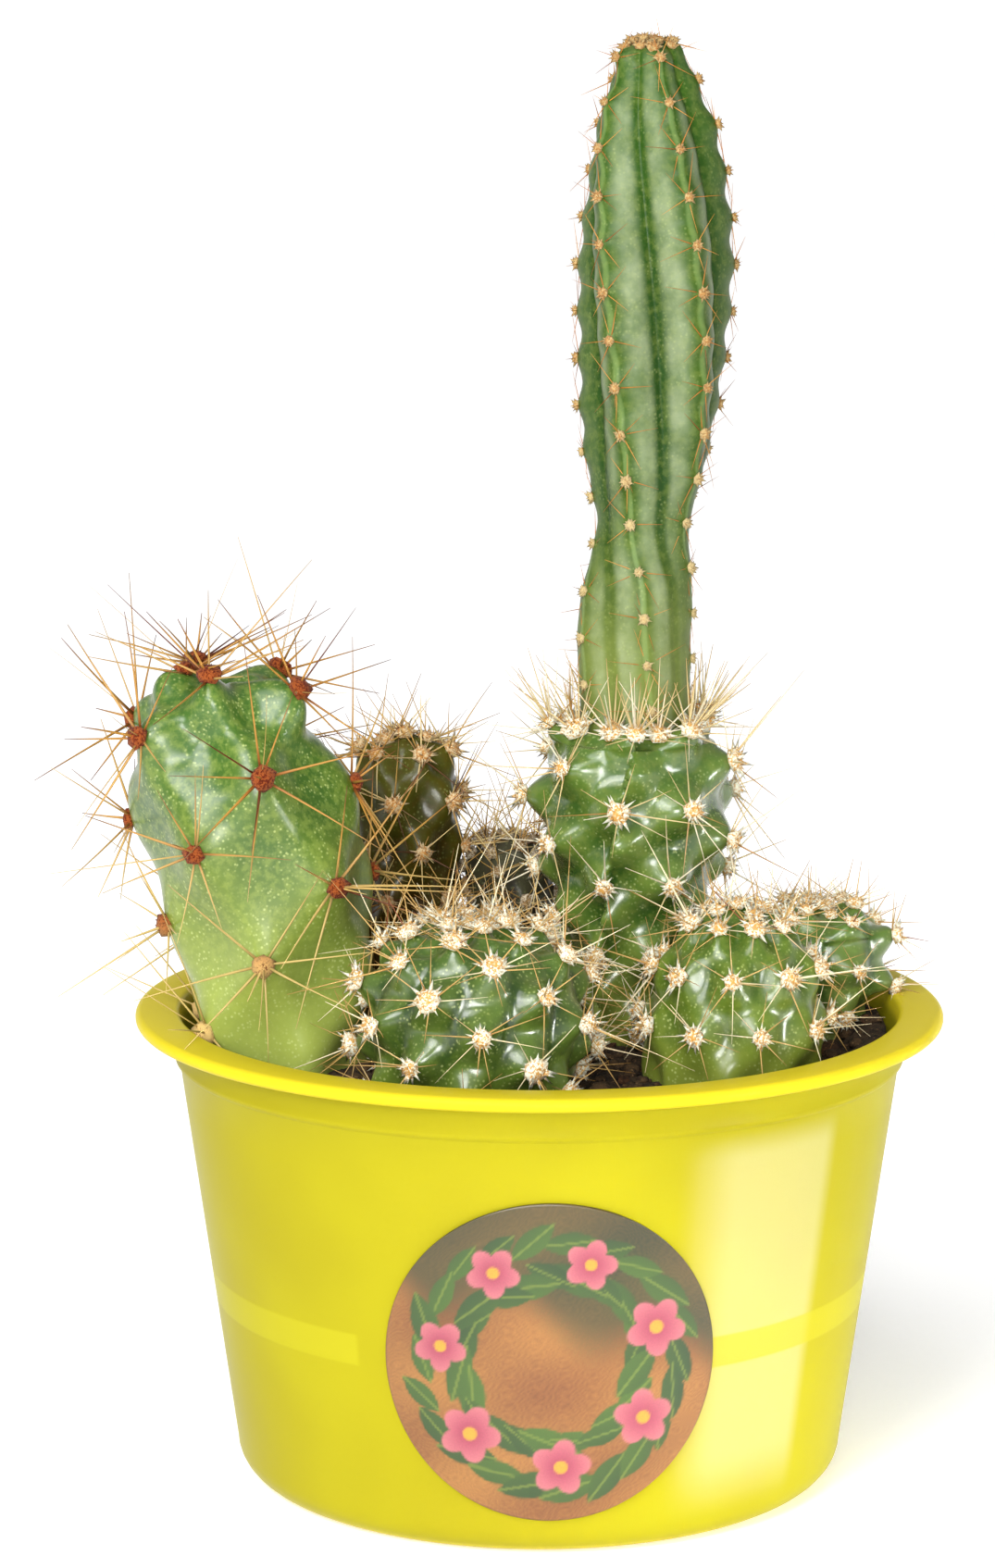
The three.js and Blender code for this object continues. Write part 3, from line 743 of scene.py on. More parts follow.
@dataclass
class RoundLabel:
    """The round sticker: a disc wrapped on the wall, printed with a wreath round a bare middle.

    The wreath's measures are shares of the sticker's radius.
    """

    pot: Pot
    radius: float = 24.0
    centre_x: float = 1.75
    centre_z: float = 30.0
    lift: float = 0.3
    thickness: float = 0.35
    steps: int = 150
    seed: int = 11
    sand: tuple[str, str] = ("5f320d", "8e6029")
    scrub: tuple[str, str] = ("1c2209", "513f16")
    leaves: int = 44
    leaf_size: Pair = (0.15, 0.22)
    leaf_width: float = 0.42
    leaf_greens: tuple[str, str] = ("122f0a", "395511")
    midrib: str = "667225"
    midrib_share: float = 0.6
    blossoms: int = 7
    blossom_size: Pair = (0.15, 0.2)
    petals: tuple[str, str] = ("7a0c39", "a1575e")
    heart: str = "ab7e1f"
    heart_size: float = 0.26
    wreath: float = 0.66
    wreath_half: float = 0.13

    def build(self) -> None:
        """Wraps, prints and adds the sticker."""
        shape = bmesh.new()
        bmesh.ops.create_grid(shape, x_segments=self.steps, y_segments=self.steps, size=1)
        mesh = to_mesh("round_sticker", shape)
        square = read_points(mesh)
        across = square[:, 0] * np.sqrt(1 - square[:, 1] ** 2 / 2)
        upward = square[:, 1] * np.sqrt(1 - square[:, 0] ** 2 / 2)
        z = self.centre_z + self.radius * upward
        wall = self.pot.wall_radius(z) + self.lift + self.thickness
        turn = (self.centre_x + self.radius * across) / wall
        write_points(mesh, np.stack([wall * np.sin(turn), -wall * np.cos(turn), z], 1))
        colours = np.ones((len(square), 4), np.float32)
        colours[:, :3] = self.printed(across, upward)
        layer = mesh.attributes.new("print", "FLOAT_COLOR", "POINT")
        layer.data.foreach_set("color", colours.ravel())
        piece = add_piece("round_sticker", mesh, Sticker().make(), "round_label")
        solid = piece.modifiers.new("paper", "SOLIDIFY")
        solid.thickness, solid.offset = self.thickness * MM, -1

    def printed(self, x: Array, y: Array) -> Array:
        """Draws the print: sand, scrub above it, a wreath of leaves and a few blossoms.

        Args:
            x: Places across the disc, from -1 to 1.
            y: Places up it.

        Returns:
            A linear colour for each place.
        """
        drift = 0.5 + 0.25 * np.sin(5 * x + 3 * y + 1.3 * np.sin(4 * y)) + 0.25 * np.sin(9 * y - 4 * x)
        grit = 0.5 + 0.5 * np.sin(61 * x + 17 * np.sin(23 * y)) * np.sin(53 * y + 13 * np.sin(19 * x))
        share = np.clip(0.6 * drift + 0.4 * grit, 0, 1)
        bank = smoothstep(y + 0.25 * x + 0.12 * np.sin(7 * x) + 0.1 * grit, 0.15, 0.5)
        colour = cover(blend(self.sand, share), blend(self.scrub, share), bank)
        rng = np.random.default_rng(self.seed)
        for i in range(self.leaves):
            side, turn = (-1) ** i, math.tau * i / self.leaves
            reach = self.wreath + self.wreath_half * side + rng.uniform(-0.03, 0.03)
            lean = turn + math.pi / 2 + rng.uniform(0.15, 0.6) * side
            colour = self.leaf(colour, x - reach * math.cos(turn), y - reach * math.sin(turn), lean,
                               rng.uniform(*self.leaf_size), rng.uniform(0, 1))
        for i in range(self.blossoms):
            turn = math.tau * (i + 0.35) / self.blossoms
            dx, dy = x - self.wreath * math.cos(turn), y - self.wreath * math.sin(turn)
            colour = self.blossom(colour, dx, dy, rng.uniform(*self.blossom_size), rng.uniform(0, 1))
        return colour

    def leaf(self, colour: Array, dx: Array, dy: Array, lean: float, size: float, shade: float) -> Array:
        """Prints one pointed leaf with a pale midrib.

        Args:
            colour: The print so far.
            dx: How far across each place is from the leaf's middle.
            dy: How far up it is.
            lean: The leaf's turn, in radians.
            size: Half its length.
            shade: Its own shade, from 0 to 1.

        Returns:
            The print with the leaf.
        """
        u = (dx * math.cos(lean) + dy * math.sin(lean)) / size
        v = (-dx * math.sin(lean) + dy * math.cos(lean)) / size
        inside = smoothstep(self.leaf_width * np.clip(1 - u * u, 0, 1) - np.abs(v), 0.0, 0.05)
        tint = blend(self.leaf_greens, np.clip(shade * 0.6 + 0.4 * (v + 0.5), 0, 1))
        rib = smoothstep(0.05 - np.abs(v), 0.0, 0.03)
        return cover(colour, cover(tint, rgb(self.midrib), self.midrib_share * rib), inside)

    def blossom(self, colour: Array, dx: Array, dy: Array, size: float, shade: float) -> Array:
        """Prints one open five-petalled blossom.

        Args:
            colour: The print so far.
            dx: How far across each place is from the blossom's middle.
            dy: How far up it is.
            size: Its radius.
            shade: A number from 0 to 1 that turns it.

        Returns:
            The print with the blossom.
        """
        reach = np.hypot(dx / size, dy / size)
        turn = np.arctan2(dy / size, dx / size) + shade * 2
        inside = smoothstep(0.68 + 0.32 * np.abs(np.cos(2.5 * turn)) - reach, 0.0, 0.08)
        tint = cover(blend(self.petals, np.clip(reach * 1.1, 0, 1)), rgb(self.heart),
                     smoothstep(self.heart_size - reach, 0.0, 0.08))
        return cover(colour, tint, inside)


@dataclass(frozen=True)
class Litter:
    """Small lumps of one kind that lie loose on the soil.

    `size` is their smallest and largest radius, `flatness` their height against their width, and
    `count` how many are tried: those that would lie inside a plant are left out.
    """

    name: str
    count: int
    size: Pair
    flatness: float
    seed: int
    mix: PottingMix
    kinds: int = 5
    roughness: float = 0.22
    small_power: float = 2.2
    longest: float = 1.6
    tumble: float = 0.4
    lift: float = 0.35
    wall_gap: float = 1.2

    def lump(self, rng: Generator) -> Mesh:
        """Makes one rough lump of radius 1.

        Args:
            rng: The random draw.

        Returns:
            The mesh.
        """
        shape = bmesh.new()
        bmesh.ops.create_icosphere(shape, subdivisions=2, radius=1)
        for vert in shape.verts:
            vert.co *= 1 + rng.uniform(-self.roughness, self.roughness)
        return to_mesh("lump", shape)


LITTER = (Litter("soil_crumbs", 1500, (0.35, 1.5), 0.75, 21,
                 PottingMix("soil_crumb", "1f130a", "4b3720", "775d3d")),
          Litter("bark_bits", 130, (1.0, 2.6), 0.35, 22, PottingMix("bark", "301b0d", "5a391f", "825f3c")))


@dataclass
class Soil:
    """The potting mix: a rough bed that fills the pot, with loose crumbs and bark on top.

    The bed's mesh is shared out between its top, its side and its floor, from the pole above down.
    """

    pot: Pot
    keep_off: list["Cactus"]
    top: float = SOIL_LINE
    gap: float = 0.3
    columns: int = 220
    rows: int = 150
    top_share: float = 0.8
    side_share: float = 0.15
    floor_share: float = 0.05
    heap_rise: float = 3.4
    heap_start: Pair = (43.0, 50.0)
    heap_middle: float = 4.0
    heap_half: Pair = (24.0, 10.0)

    def heave(self, x: Array, y: Array) -> Array:
        """Works out how far the bed rises above its middle level: more at the pot's right edge.

        Args:
            x: Places from left to right.
            y: Places from front to back.

        Returns:
            The rise at each place.
        """
        slow = 0.5 * np.sin(x * 0.21) * np.cos(y * 0.17 + 1)
        lumps = 0.35 * np.sin(x * 0.9 + np.sin(y * 0.7)) * np.sin(y * 0.8 + 1.4 * np.sin(x * 0.5))
        grains = 0.22 * np.sin(x * 2.3 + 2 * np.sin(y * 1.7)) * np.sin(y * 2.1 + 2 * np.sin(x * 1.9))
        wide, narrow = self.heap_half
        across = smoothstep(-np.abs(y - self.heap_middle), -wide, -narrow)
        return slow + lumps + grains + smoothstep(x, *self.heap_start) * across * self.heap_rise

    def build(self) -> None:
        """Adds the bed and what lies loose on it."""
        mesh, turn, down = globe_mesh("soil_bed", self.columns, self.rows)
        above = down <= self.top_share
        under = down > self.top_share + self.side_share
        side = ~above & ~under
        rim = self.pot.inner_radius(self.top) - self.gap
        foot = self.pot.inner_radius(self.pot.corner) - self.pot.corner
        fall = (down[side] - self.top_share) / self.side_share
        radius = np.where(above, rim * np.clip(down / self.top_share, 0, 1), 0.0)
        height = np.full(len(down), self.top)
        height[side] = self.top + (self.pot.corner + 1 - self.top) * fall
        radius[side] = self.pot.inner_radius(height[side]) - self.gap
        height[under] = self.pot.floor + self.gap
        radius[under] = foot * (1 - down[under]) / self.floor_share
        x, y = radius * np.sin(math.tau * turn), radius * np.cos(math.tau * turn)
        height[above] += self.heave(x, y)[above]
        write_points(mesh, np.stack([x, y, height], 1))
        add_piece("soil_bed", mesh, PottingMix("potting_mix").make(), "soil")
        for litter in LITTER:
            self.scatter(litter)

    def scatter(self, litter: Litter) -> None:
        """Scatters small lumps over the bed.

        Args:
            litter: The kind of lumps.
        """
        rng = np.random.default_rng(litter.seed)
        kinds = [litter.lump(rng) for _ in range(litter.kinds)]
        shape = bmesh.new()
        least, most = litter.size
        reach = self.pot.inner_radius(self.top) - litter.wall_gap
        for _ in range(litter.count):
            far, turn = reach * math.sqrt(rng.uniform()), rng.uniform(0, math.tau)
            x, y = far * math.sin(turn), far * math.cos(turn)
            radius = least + (most - least) * rng.uniform() ** litter.small_power
            spin = (Matrix.Rotation(rng.uniform(0, FULL_SPIN), 4, "Z")
                    @ Matrix.Rotation(rng.normal(0, litter.tumble), 4, "X"))
            thick = radius * litter.flatness
            stretch = Matrix.Diagonal((radius * rng.uniform(1, litter.longest), radius, thick, 1))
            rise = float(self.heave(np.array([x]), np.array([y]))[0]) + thick * litter.lift
            if far + radius > reach or any(c.holds(x, y, self.top, radius * 0.5) for c in self.keep_off):
                continue
            place = Matrix.Translation((x, y, self.top + rise))
            stamp(shape, kinds[rng.integers(litter.kinds)], place, spin, stretch)
        discard(kinds)
        add_piece(litter.name, to_mesh(litter.name, shape), litter.mix.make())


# ---- cacti
class Relief(Enum):
    """How the skin falls from a rib's crest to the groove beside it, with the power of the fall."""

    ROUND = 1.57
    FLAT = 1.25


@dataclass(frozen=True)
class TuftShape:
    """How a cushion's wool is made up: a felted pad, and hairs that stand out of it."""

    pad: float
    hairs: int
    reach: Pair
    lean: Pair
    thickness: Pair
    lift: float
    roughness: float = 0.12
    flatness: float = 0.65
    hair_foot: float = 0.5
    hair_squash: float = 0.6
    full_reach: float = 1.2


STAR = TuftShape(0.64, 14, (0.45, 0.85), (0.3, 1.5), (0.11, 0.19), 0.2)
PAD = TuftShape(0.86, 15, (0.16, 0.34), (0.2, 1.5), (0.18, 0.26), 0.2)
FLUFF = TuftShape(0.6, 12, (0.35, 0.7), (0.2, 1.4), (0.17, 0.27), 0.1)


@dataclass(frozen=True)
class SpineSet:
    """Spines of one kind on every cushion of a plant: angles in degrees, `above` a share of its height."""

    count: int
    tilt: float
    tilt_spread: float
    length: Pair
    width: float
    bend: float = 0.05
    shade: Pair = (0.0, 1.0)
    upward: float = 0.0
    chance: float = 1.0
    above: float = -1.0


@dataclass
class Cushions:
    """The spine cushions of a plant, one row of each array for each cushion."""

    point: Array
    facing: Array
    side: Array
    upward: Array
    rise: Array
    size: Array
    share: Array


@dataclass
class Cactus:
    """One cactus: a skin of ribs or knobs round a centre line, with wool cushions and spines.

    Lengths are in millimetres and angles in degrees.
    """

    node: str
    centre: Rows
    profile: Rows
    top: float
    crown_power: float
    ribs: int
    pitch: float
    first_rib: float
    twist: float
    skin: Skin
    wool: Wool
    wool_size: float
    needle: Needle
    spines: tuple[SpineSet, ...]
    seed: int
    apex_dip: float = 0.0
    apex_width: float = 0.65
    groove: float = 0.0
    notch: float = 0.0
    knob: float = 0.0
    relief: Relief = Relief.ROUND
    tuft_shape: TuftShape = STAR
    crown_cushions: tuple[int, float, float, float] = (0, 0.0, 1.0, 0.0)
    lowest_cushion: float = 1.5
    turn_span: tuple[float, float, float] = (0.0, 1.0, 0.0)
    full_relief: tuple[float, float, float] = (0.0, 1.0, 1.0)
    row_start: float = 0.0
    row_tilt: float = 0.0
    crown_knob: float = 0.0
    crown_depth: Pair = (18.0, 6.0)
    knob_keenness: float = 1.0
    wobble: float = 0.25
    wobble_length: float = 0.23
    columns_per_rib: int = 16
    row_size: float = 0.42
    dimple: Pair = (0.0, 0.0)
    dimple_edge: Pair = (0.9, -0.3)
    seat_cushions: float = 0.0
    seat_size: float = 1.35
    soil_line: float = SOIL_LINE
    chain: Array = field(init=False)

    def __post_init__(self) -> None:
        """Works out the profile's chain of points from the apex down to the foot."""
        shoulder_height, shoulder = self.profile[-1]
        angles = np.linspace(math.pi / 2, 0, 81)
        crown = np.stack([shoulder * np.clip(np.cos(angles), 0, 1) ** self.crown_power,
                          shoulder_height + (self.top - shoulder_height) * np.sin(angles)], 1)
        crown[0, 0] = 0
        heights = np.linspace(shoulder_height, self.profile[0][0], 241)[1:]
        side = np.stack([along(self.profile, heights)[0], heights], 1)
        chain = np.concatenate([crown, side])
        steps = np.hypot(*np.diff(chain, axis=0).T)
        length = np.concatenate([[0], np.cumsum(steps)])
        run = np.gradient(chain, length, axis=0)
        self.chain = np.column_stack([length, chain, -run[:, 1], run[:, 0]])

    def spot(self, distance: Array) -> tuple[Array, ...]:
        """Reads the profile at distances from the apex: radius, height, outward and upward parts."""
        return tuple(np.interp(distance, self.chain[:, 0], self.chain[:, i]) for i in (1, 2, 3, 4))

    def share_of_height(self, height: Array) -> Array:
        """Gives how far up the plant a height is, from 0 at the soil to 1 at the top."""
        return (height - self.soil_line) / (self.top - self.soil_line)

    def rib_angle(self, rib: Array, height: Array) -> Array:
        """Works out how far round the plant a rib stands.

        Args:
            rib: Which rib.
            height: Where on it.

        Returns:
            The angle in radians.
        """
        degrees = self.first_rib + 360 * rib / self.ribs + self.twist * (self.top - height)
        start, end, turned = self.turn_span
        return np.radians(degrees + turned * (1 - smoothstep(height, start, end)))

    def surface(self, rib: Array, distance: Array) -> tuple[Array, Array]:
        """Places points of the skin.

        Args:
            rib: Which rib each point is on, whole on a crest and half way in a groove.
            distance: How far each lies from the apex along the profile.

        Returns:
            The points, and how high each stands between groove and crest.
        """
        radius, height, out, up = self.spot(distance)
        angle = self.rib_angle(rib, height)
        row = (distance - self.row_start - self.row_tilt * np.sin(angle)) / self.pitch
        across = np.abs(rib - np.round(rib)) * 2
        if self.relief is Relief.ROUND:
            crest = np.cos(math.pi / 2 * across) ** self.relief.value
        else:
            crest = 1 - across ** self.relief.value
        stagger = np.where(np.round(rib) % self.ribs % 2 == 0, 0.0, 0.5)
        cushion = 0.5 + 0.5 * np.cos(math.tau * (row - stagger))
        swell = (0.5 + 0.5 * np.cos(math.pi * rib) * np.cos(math.tau * row)) ** self.knob_keenness
        fade = np.clip(radius / (0.5 * self.pitch), 0, 1)
        apex = np.clip(1 - radius / (self.apex_width * self.profile[-1][1]), 0, 1)
        start, full = (self.top - depth for depth in self.crown_depth)
        grown = 1 + self.crown_knob * smoothstep(height, start, full)
        start, full, share = self.full_relief
        relief = share + (1 - share) * smoothstep(height, start, full)
        sink = ((radius * self.groove * (1 - crest) + self.notch * crest * (1 - cushion) * fade) * relief
                + self.knob * grown * (1 - swell) * fade + self.apex_dip * apex * apex)
        phase = self.seed * 1.7
        sink += self.wobble * np.clip(radius / 6, 0, 1) * np.sin(self.wobble_length * distance + 2 * np.sin(
            math.tau * rib / self.ribs + phase)) * np.sin(2 * math.tau * rib / self.ribs + phase)
        ring, level = radius - sink * out, height - sink * up
        cx, cy = along(self.centre, level)
        points = np.stack([cx + ring * np.sin(angle), cy + ring * np.cos(angle), level], 1)
        return points, swell if self.knob else crest

    def holds(self, x: float, y: float, height: float, margin: float) -> bool:
        """Says whether a place is inside the plant, or close to it.

        Args:
            x: Where it is from left to right.
            y: Where it is from front to back.
            height: How high it is.
            margin: How far off still counts.

        Returns:
            True if it is.
        """
        cx, cy = (float(v) for v in along(self.centre, np.array(height)))
        radius = float(along(self.profile, np.array(height))[0])
        return height >= self.profile[0][0] and math.hypot(x - cx, y - cy) < radius * 0.94 + margin

    def envelope(self, height: Array) -> Array:
        """Works out the widest radius of the plant.

        Args:
            height: Heights above the floor.

        Returns:
            The radius at each.
        """
        shoulder_height, shoulder = self.profile[-1]
        share = np.clip((height - shoulder_height) / (self.top - shoulder_height), 0, 1)
        crown = shoulder * np.sqrt(np.clip(1 - share * share, 0, 1)) ** self.crown_power
        return np.where(height <= shoulder_height, along(self.profile, height)[0], crown)

    @cached_property
    def cushions(self) -> Cushions:
        """Finds every spine cushion above the soil: those of the rows, of the seat and of the crown.

        Returns:
            The cushions.
        """
        ribs, distances = [], []
        for rib in range(self.ribs):
            first = self.pitch * (1 if rib % 2 == 0 else 0.5)
            for row in np.arange(first, self.chain[-1, 0], self.pitch):
                tilt = self.row_tilt * math.sin(self.rib_angle(rib, self.spot(row)[1]))
                distance = row + self.row_start + tilt
                radius, height = self.spot(distance)[:2]
                if height < self.soil_line + self.lowest_cushion:
                    break
                if radius >= self.dimple[0] + 1:
                    ribs.append(rib)
                    distances.append(distance)
        seated = self.ribs if self.seat_cushions else 0
        count, reach, swelling, spiny = self.crown_cushions
        size = np.repeat([1.0, self.seat_size, swelling], [len(ribs), seated, count])
        share = np.repeat([1.0, spiny], [len(ribs) + seated, count])
        ribs += [rib + 0.5 for rib in range(seated)]
        distances += [self.seat_cushions] * seated
        ribs += [self.ribs * (i * GOLDEN_TURN % 1) for i in range(count)]
        distances += [reach * math.sqrt((i + 0.5) / count) for i in range(count)]
        rib, distance = np.array(ribs, float), np.array(distances, float)
        point = self.surface(rib, distance)[0]
        _, height, out, up = self.spot(distance)
        angle = self.rib_angle(rib, height)
        facing = np.stack([out * np.sin(angle), out * np.cos(angle), up], 1)
        facing /= np.linalg.norm(facing, axis=1)[:, None]
        side = np.stack([np.cos(angle), -np.sin(angle), np.zeros_like(angle)], 1)
        rise = self.share_of_height(point[:, 2])
        return Cushions(point, facing, side, np.cross(side, facing), rise, size, share)

    def build_skin(self) -> None:
        """Adds the body, which closes to a point half a row from the mesh's lower pole."""
        length = self.chain[-1, 0]
        rows = max(24, int(length / self.row_size))
        mesh, turn, down = globe_mesh(self.node + "_skin", self.ribs * self.columns_per_rib, rows)
        distance = np.clip(down / (1 - 1.5 / rows), 0, 1) * length
        points, crest = self.surface(turn * self.ribs, distance)
        foot = self.profile[0][0]
        foot_x, foot_y = (float(v) for v in along(self.centre, np.array(foot)))
        points[down > 1 - 0.5 / rows] = (foot_x, foot_y, foot)
        radius, floor = self.dimple
        if radius:
            cx, cy = along(self.centre, points[:, 2])
            from_axis = np.hypot(points[:, 0] - cx, points[:, 1] - cy)
            outer, inner = self.dimple_edge
            seat = smoothstep(from_axis, radius + outer, radius + inner)
            points[:, 2] -= seat * np.clip(points[:, 2] - floor, 0, None)
        write_points(mesh, points)
        write_attribute(mesh, "crest", crest)
        write_attribute(mesh, "rise", self.share_of_height(points[:, 2]))
        add_piece(self.node + "_skin", mesh, self.skin.make(), self.node)

    def build_wool(self) -> None:
        """Adds the wool of the cushions."""
        at, rng = self.cushions, np.random.default_rng(self.seed + 100)
        kinds = [tuft(rng, self.tuft_shape) for _ in range(TUFT_KINDS)]
        shape = bmesh.new()
        for point, facing, side, upward, swelling in zip(at.point, at.facing, at.side, at.upward, at.size):
            size = self.wool_size * swelling * rng.uniform(0.85, 1.15)
            turn = Matrix((side, upward, facing)).transposed().to_4x4()
            spin = Matrix.Rotation(rng.uniform(0, FULL_SPIN), 4, "Z")
            place = Matrix.Translation(Vector(point + facing * size * self.tuft_shape.lift))
            stamp(shape, kinds[rng.integers(TUFT_KINDS)], place, turn, spin, Matrix.Scale(size, 4))
        discard(kinds)
        name = self.node + "_wool"
        add_piece(name, to_mesh(name, shape), self.wool.make())

    def lay_spines(self, kind: SpineSet, rng: Generator,
                   free: "Clearance") -> list[tuple[Matrix, float, float]]:
        """Lays out one kind of spine over the plant.

        A spine that isn't clear is turned outwards and upwards step by step, and left out in the end.

        Args:
            kind: The kind of spine.
            rng: The random draw.
            free: What the spines keep clear of.

        Returns:
            For each spine its place, its bend and its shade.
        """
        at, cushions = self.cushions, len(self.cushions.point)
        count = cushions * kind.count
        which = np.repeat(np.arange(cushions), kind.count)
        order = np.tile(np.arange(kind.count), cushions)
        point, facing = at.point[which], at.facing[which]
        keep = (rng.uniform(size=count) < kind.chance * at.share[which]) & (at.rise[which] > kind.above)
        turn = (math.tau * (order + rng.uniform(0, 0.7, count)) / kind.count + which * 2.4)[:, None]
        tilt = np.radians(kind.tilt + kind.tilt_spread * rng.uniform(-1, 1, count))
        reach = rng.uniform(*kind.length, count)
        away = at.side[which] * np.cos(turn) + at.upward[which] * np.sin(turn)
        chosen = np.zeros((count, 3))
        done = ~keep
        for ease in EASES:
            lean = (tilt * (1 - 0.75 * ease))[:, None]
            direction = facing * np.cos(lean) + away * np.sin(lean)
            direction[:, 2] += 0.5 * ease + kind.upward
            direction /= np.linalg.norm(direction, axis=1)[:, None]
            clear = free.clear(self, point, direction, reach) & ~done
            chosen[clear] = direction[clear]
            done |= clear
        root = point - facing * ROOT_DEPTH
        laid = []
        for i in np.flatnonzero(np.linalg.norm(chosen, axis=1) > 0):
            heading = Vector(chosen[i]).to_track_quat("Z", "X").to_matrix().to_4x4()
            spin = Matrix.Rotation(rng.uniform(0, FULL_SPIN), 4, "Z")
            width = kind.width * rng.uniform(0.8, 1.15)
            size = Matrix.Diagonal((width, width, reach[i] + ROOT_DEPTH, 1))
            bend = kind.bend * rng.uniform(0, 1) * (reach[i] / width)
            place = Matrix.Translation(Vector(root[i]))
            laid.append((place @ heading @ spin @ size, bend, rng.uniform(*kind.shade)))
        return laid

    def build_spines(self, free: "Clearance") -> None:
        """Adds the spines as one piece.

        Args:
            free: What the spines keep clear of.
        """
        rng = np.random.default_rng(self.seed)
        laid = [spine for kind in self.spines for spine in self.lay_spines(kind, rng, free)]
        kinds = [bent_spine(bend) for bend in BENDS]
        shape = bmesh.new()
        for place, bend, shade in laid:
            nearest = min(range(len(BENDS)), key=lambda k: abs(BENDS[k] - bend))
            stamp(shape, kinds[nearest], place, shade=shade)
        discard(kinds)
        name = self.node + "_spines"
        add_piece(name, to_mesh(name, shape), self.needle.make())

    def build(self, free: "Clearance") -> None:
        """Adds the whole plant.

        Args:
            free: What the spines keep clear of.
        """
        self.build_skin()
        self.build_wool()
        self.build_spines(free)


@dataclass
class Clearance:
    """What a spine keeps clear of: the soil, the pot's rim and the other plants."""

    pot: Pot
    plants: list[Cactus]
    soil_top: float = 64.6
    gap: float = 0.8
    tested: tuple[float, ...] = (0.3, 0.45, 0.6, 0.75, 0.88, 1.0)

    def clear(self, own: Cactus, root: Array, direction: Array, reach: Array) -> Array:
        """Tests spines at several places along each.

        Args:
            own: The plant that they grow on.
            root: Where each starts.
            direction: Where each points.
            reach: How long each is.

        Returns:
            True for each spine that touches nothing.
        """
        good = np.ones(len(root), bool)
        neck = self.pot.inner_radius(self.pot.ledge_height) - self.gap
        for share in self.tested:
            point = root + direction * (reach * share)[:, None]
            x, y, height = point.T
            in_rim = (height < self.pot.height + self.gap) & (np.hypot(x, y) > neck)
            good &= (height > self.soil_top) & ~in_rim
            for other in self.plants:
                if other is own:
                    continue
                cx, cy = along(other.centre, height)
                close = np.hypot(x - cx, y - cy) < other.envelope(height) + self.gap
                level = (height < other.top + self.gap) & (height > other.profile[0][0])
                good &= ~(close & level)
        return good


def tuft(rng: Generator, kind: TuftShape) -> Mesh:
    """Makes one wool tuft of about radius 1.

    Args:
        rng: The random draw.
        kind: How it is made up.

    Returns:
        The mesh, on its foot and facing up, with each point's share of the reach in its UV map.
    """
    shape = bmesh.new()
    bmesh.ops.create_icosphere(shape, subdivisions=1, radius=kind.pad)
    for vert in shape.verts:
        vert.co *= 1 + rng.uniform(-kind.roughness, kind.roughness)
        vert.co.z *= kind.flatness
    least, most = kind.lean
    for i in range(kind.hairs):
        lean = least + (most - least) * math.sqrt((i + 0.5) / kind.hairs)
        turn = math.tau * (i * GOLDEN_TURN + rng.uniform(-0.05, 0.05))
        heading = Vector((math.sin(lean) * math.cos(turn), math.sin(lean) * math.sin(turn), math.cos(lean)))
        reach = rng.uniform(*kind.reach)
        foot = Vector((heading.x, heading.y, heading.z * kind.hair_squash)) * kind.pad * kind.hair_foot
        place = Matrix.Translation(foot) @ heading.to_track_quat("Z", "X").to_matrix().to_4x4()
        bmesh.ops.create_cone(shape, cap_ends=True, segments=3, radius1=rng.uniform(*kind.thickness),
                              radius2=0, depth=reach, matrix=place @ Matrix.Translation((0, 0, reach / 2)))
    mark_grain(shape, lambda point: min(1, point.length / kind.full_reach))
    return to_mesh("tuft", shape)


def bent_spine(bend: float, sides: int = 5, tip: float = 0.09, cuts: int = 3) -> Mesh:
    """Makes one spine of length 1 and root width 1.

    Args:
        bend: How far its tip stands off the straight line, in root widths.
        sides: How many sides it has.
        tip: The radius of its tip.
        cuts: How often its sides are cut, so that they bend smoothly.

    Returns:
        The mesh, with the share of the length in its UV map.
    """
    shape = bmesh.new()
    bmesh.ops.create_cone(shape, cap_ends=True, segments=sides, radius1=0.5, radius2=tip, depth=1,
                          matrix=Matrix.Translation((0, 0, 0.5)))
    upright = [e for e in shape.edges if abs(e.verts[0].co.z - e.verts[1].co.z) > 0.5]
    bmesh.ops.subdivide_edges(shape, edges=upright, cuts=cuts, use_grid_fill=True)
    mark_grain(shape, lambda point: point.z)
    for vert in shape.verts:
        vert.co.x += bend * vert.co.z * vert.co.z
    return to_mesh("spine", shape)


GOLD = Needle("golden_spine", "7b4116", "9a6f2d", "532a10", "a7884d", "52240d", "b0995d", (84, 104))
IVORY = Needle("ivory_spine", "a2793d", "baa676", "9c7e4b", "ccc1a6", "956c35", "baa676")
STRAW = Needle("straw_spine", "9c6c35", "ad8c52", "87602e", "c8ba98", "743f22", "ad8c52")
BROWN = Needle("brown_spine", "744d27", "a88443", "674420", "bea874", "4e3019", "a88443")
AMBER = Needle("amber_spine", "8e4f13", "9c5e19", "875016", "ad762e", "764313", "9c5e19")

RED_WOOL = Wool("red_brown_wool", "521a07", "85431c", "c5a566", (76, 88), (0.3, 0.8), 0.4)
CREAM_WOOL = Wool("cream_wool", "b98a44", "dddbc6", "dddbc6")
TAN_WOOL = Wool("tan_wool", "997040", "ac9364", "af9c6f", (140, 165))
DULL_WOOL = Wool("dull_wool", "a9763c", "c8b28a", "95764d", (70, 95))
DRY_WOOL = Wool("dry_wool", "7f6642", "bfb198", "bfb198")


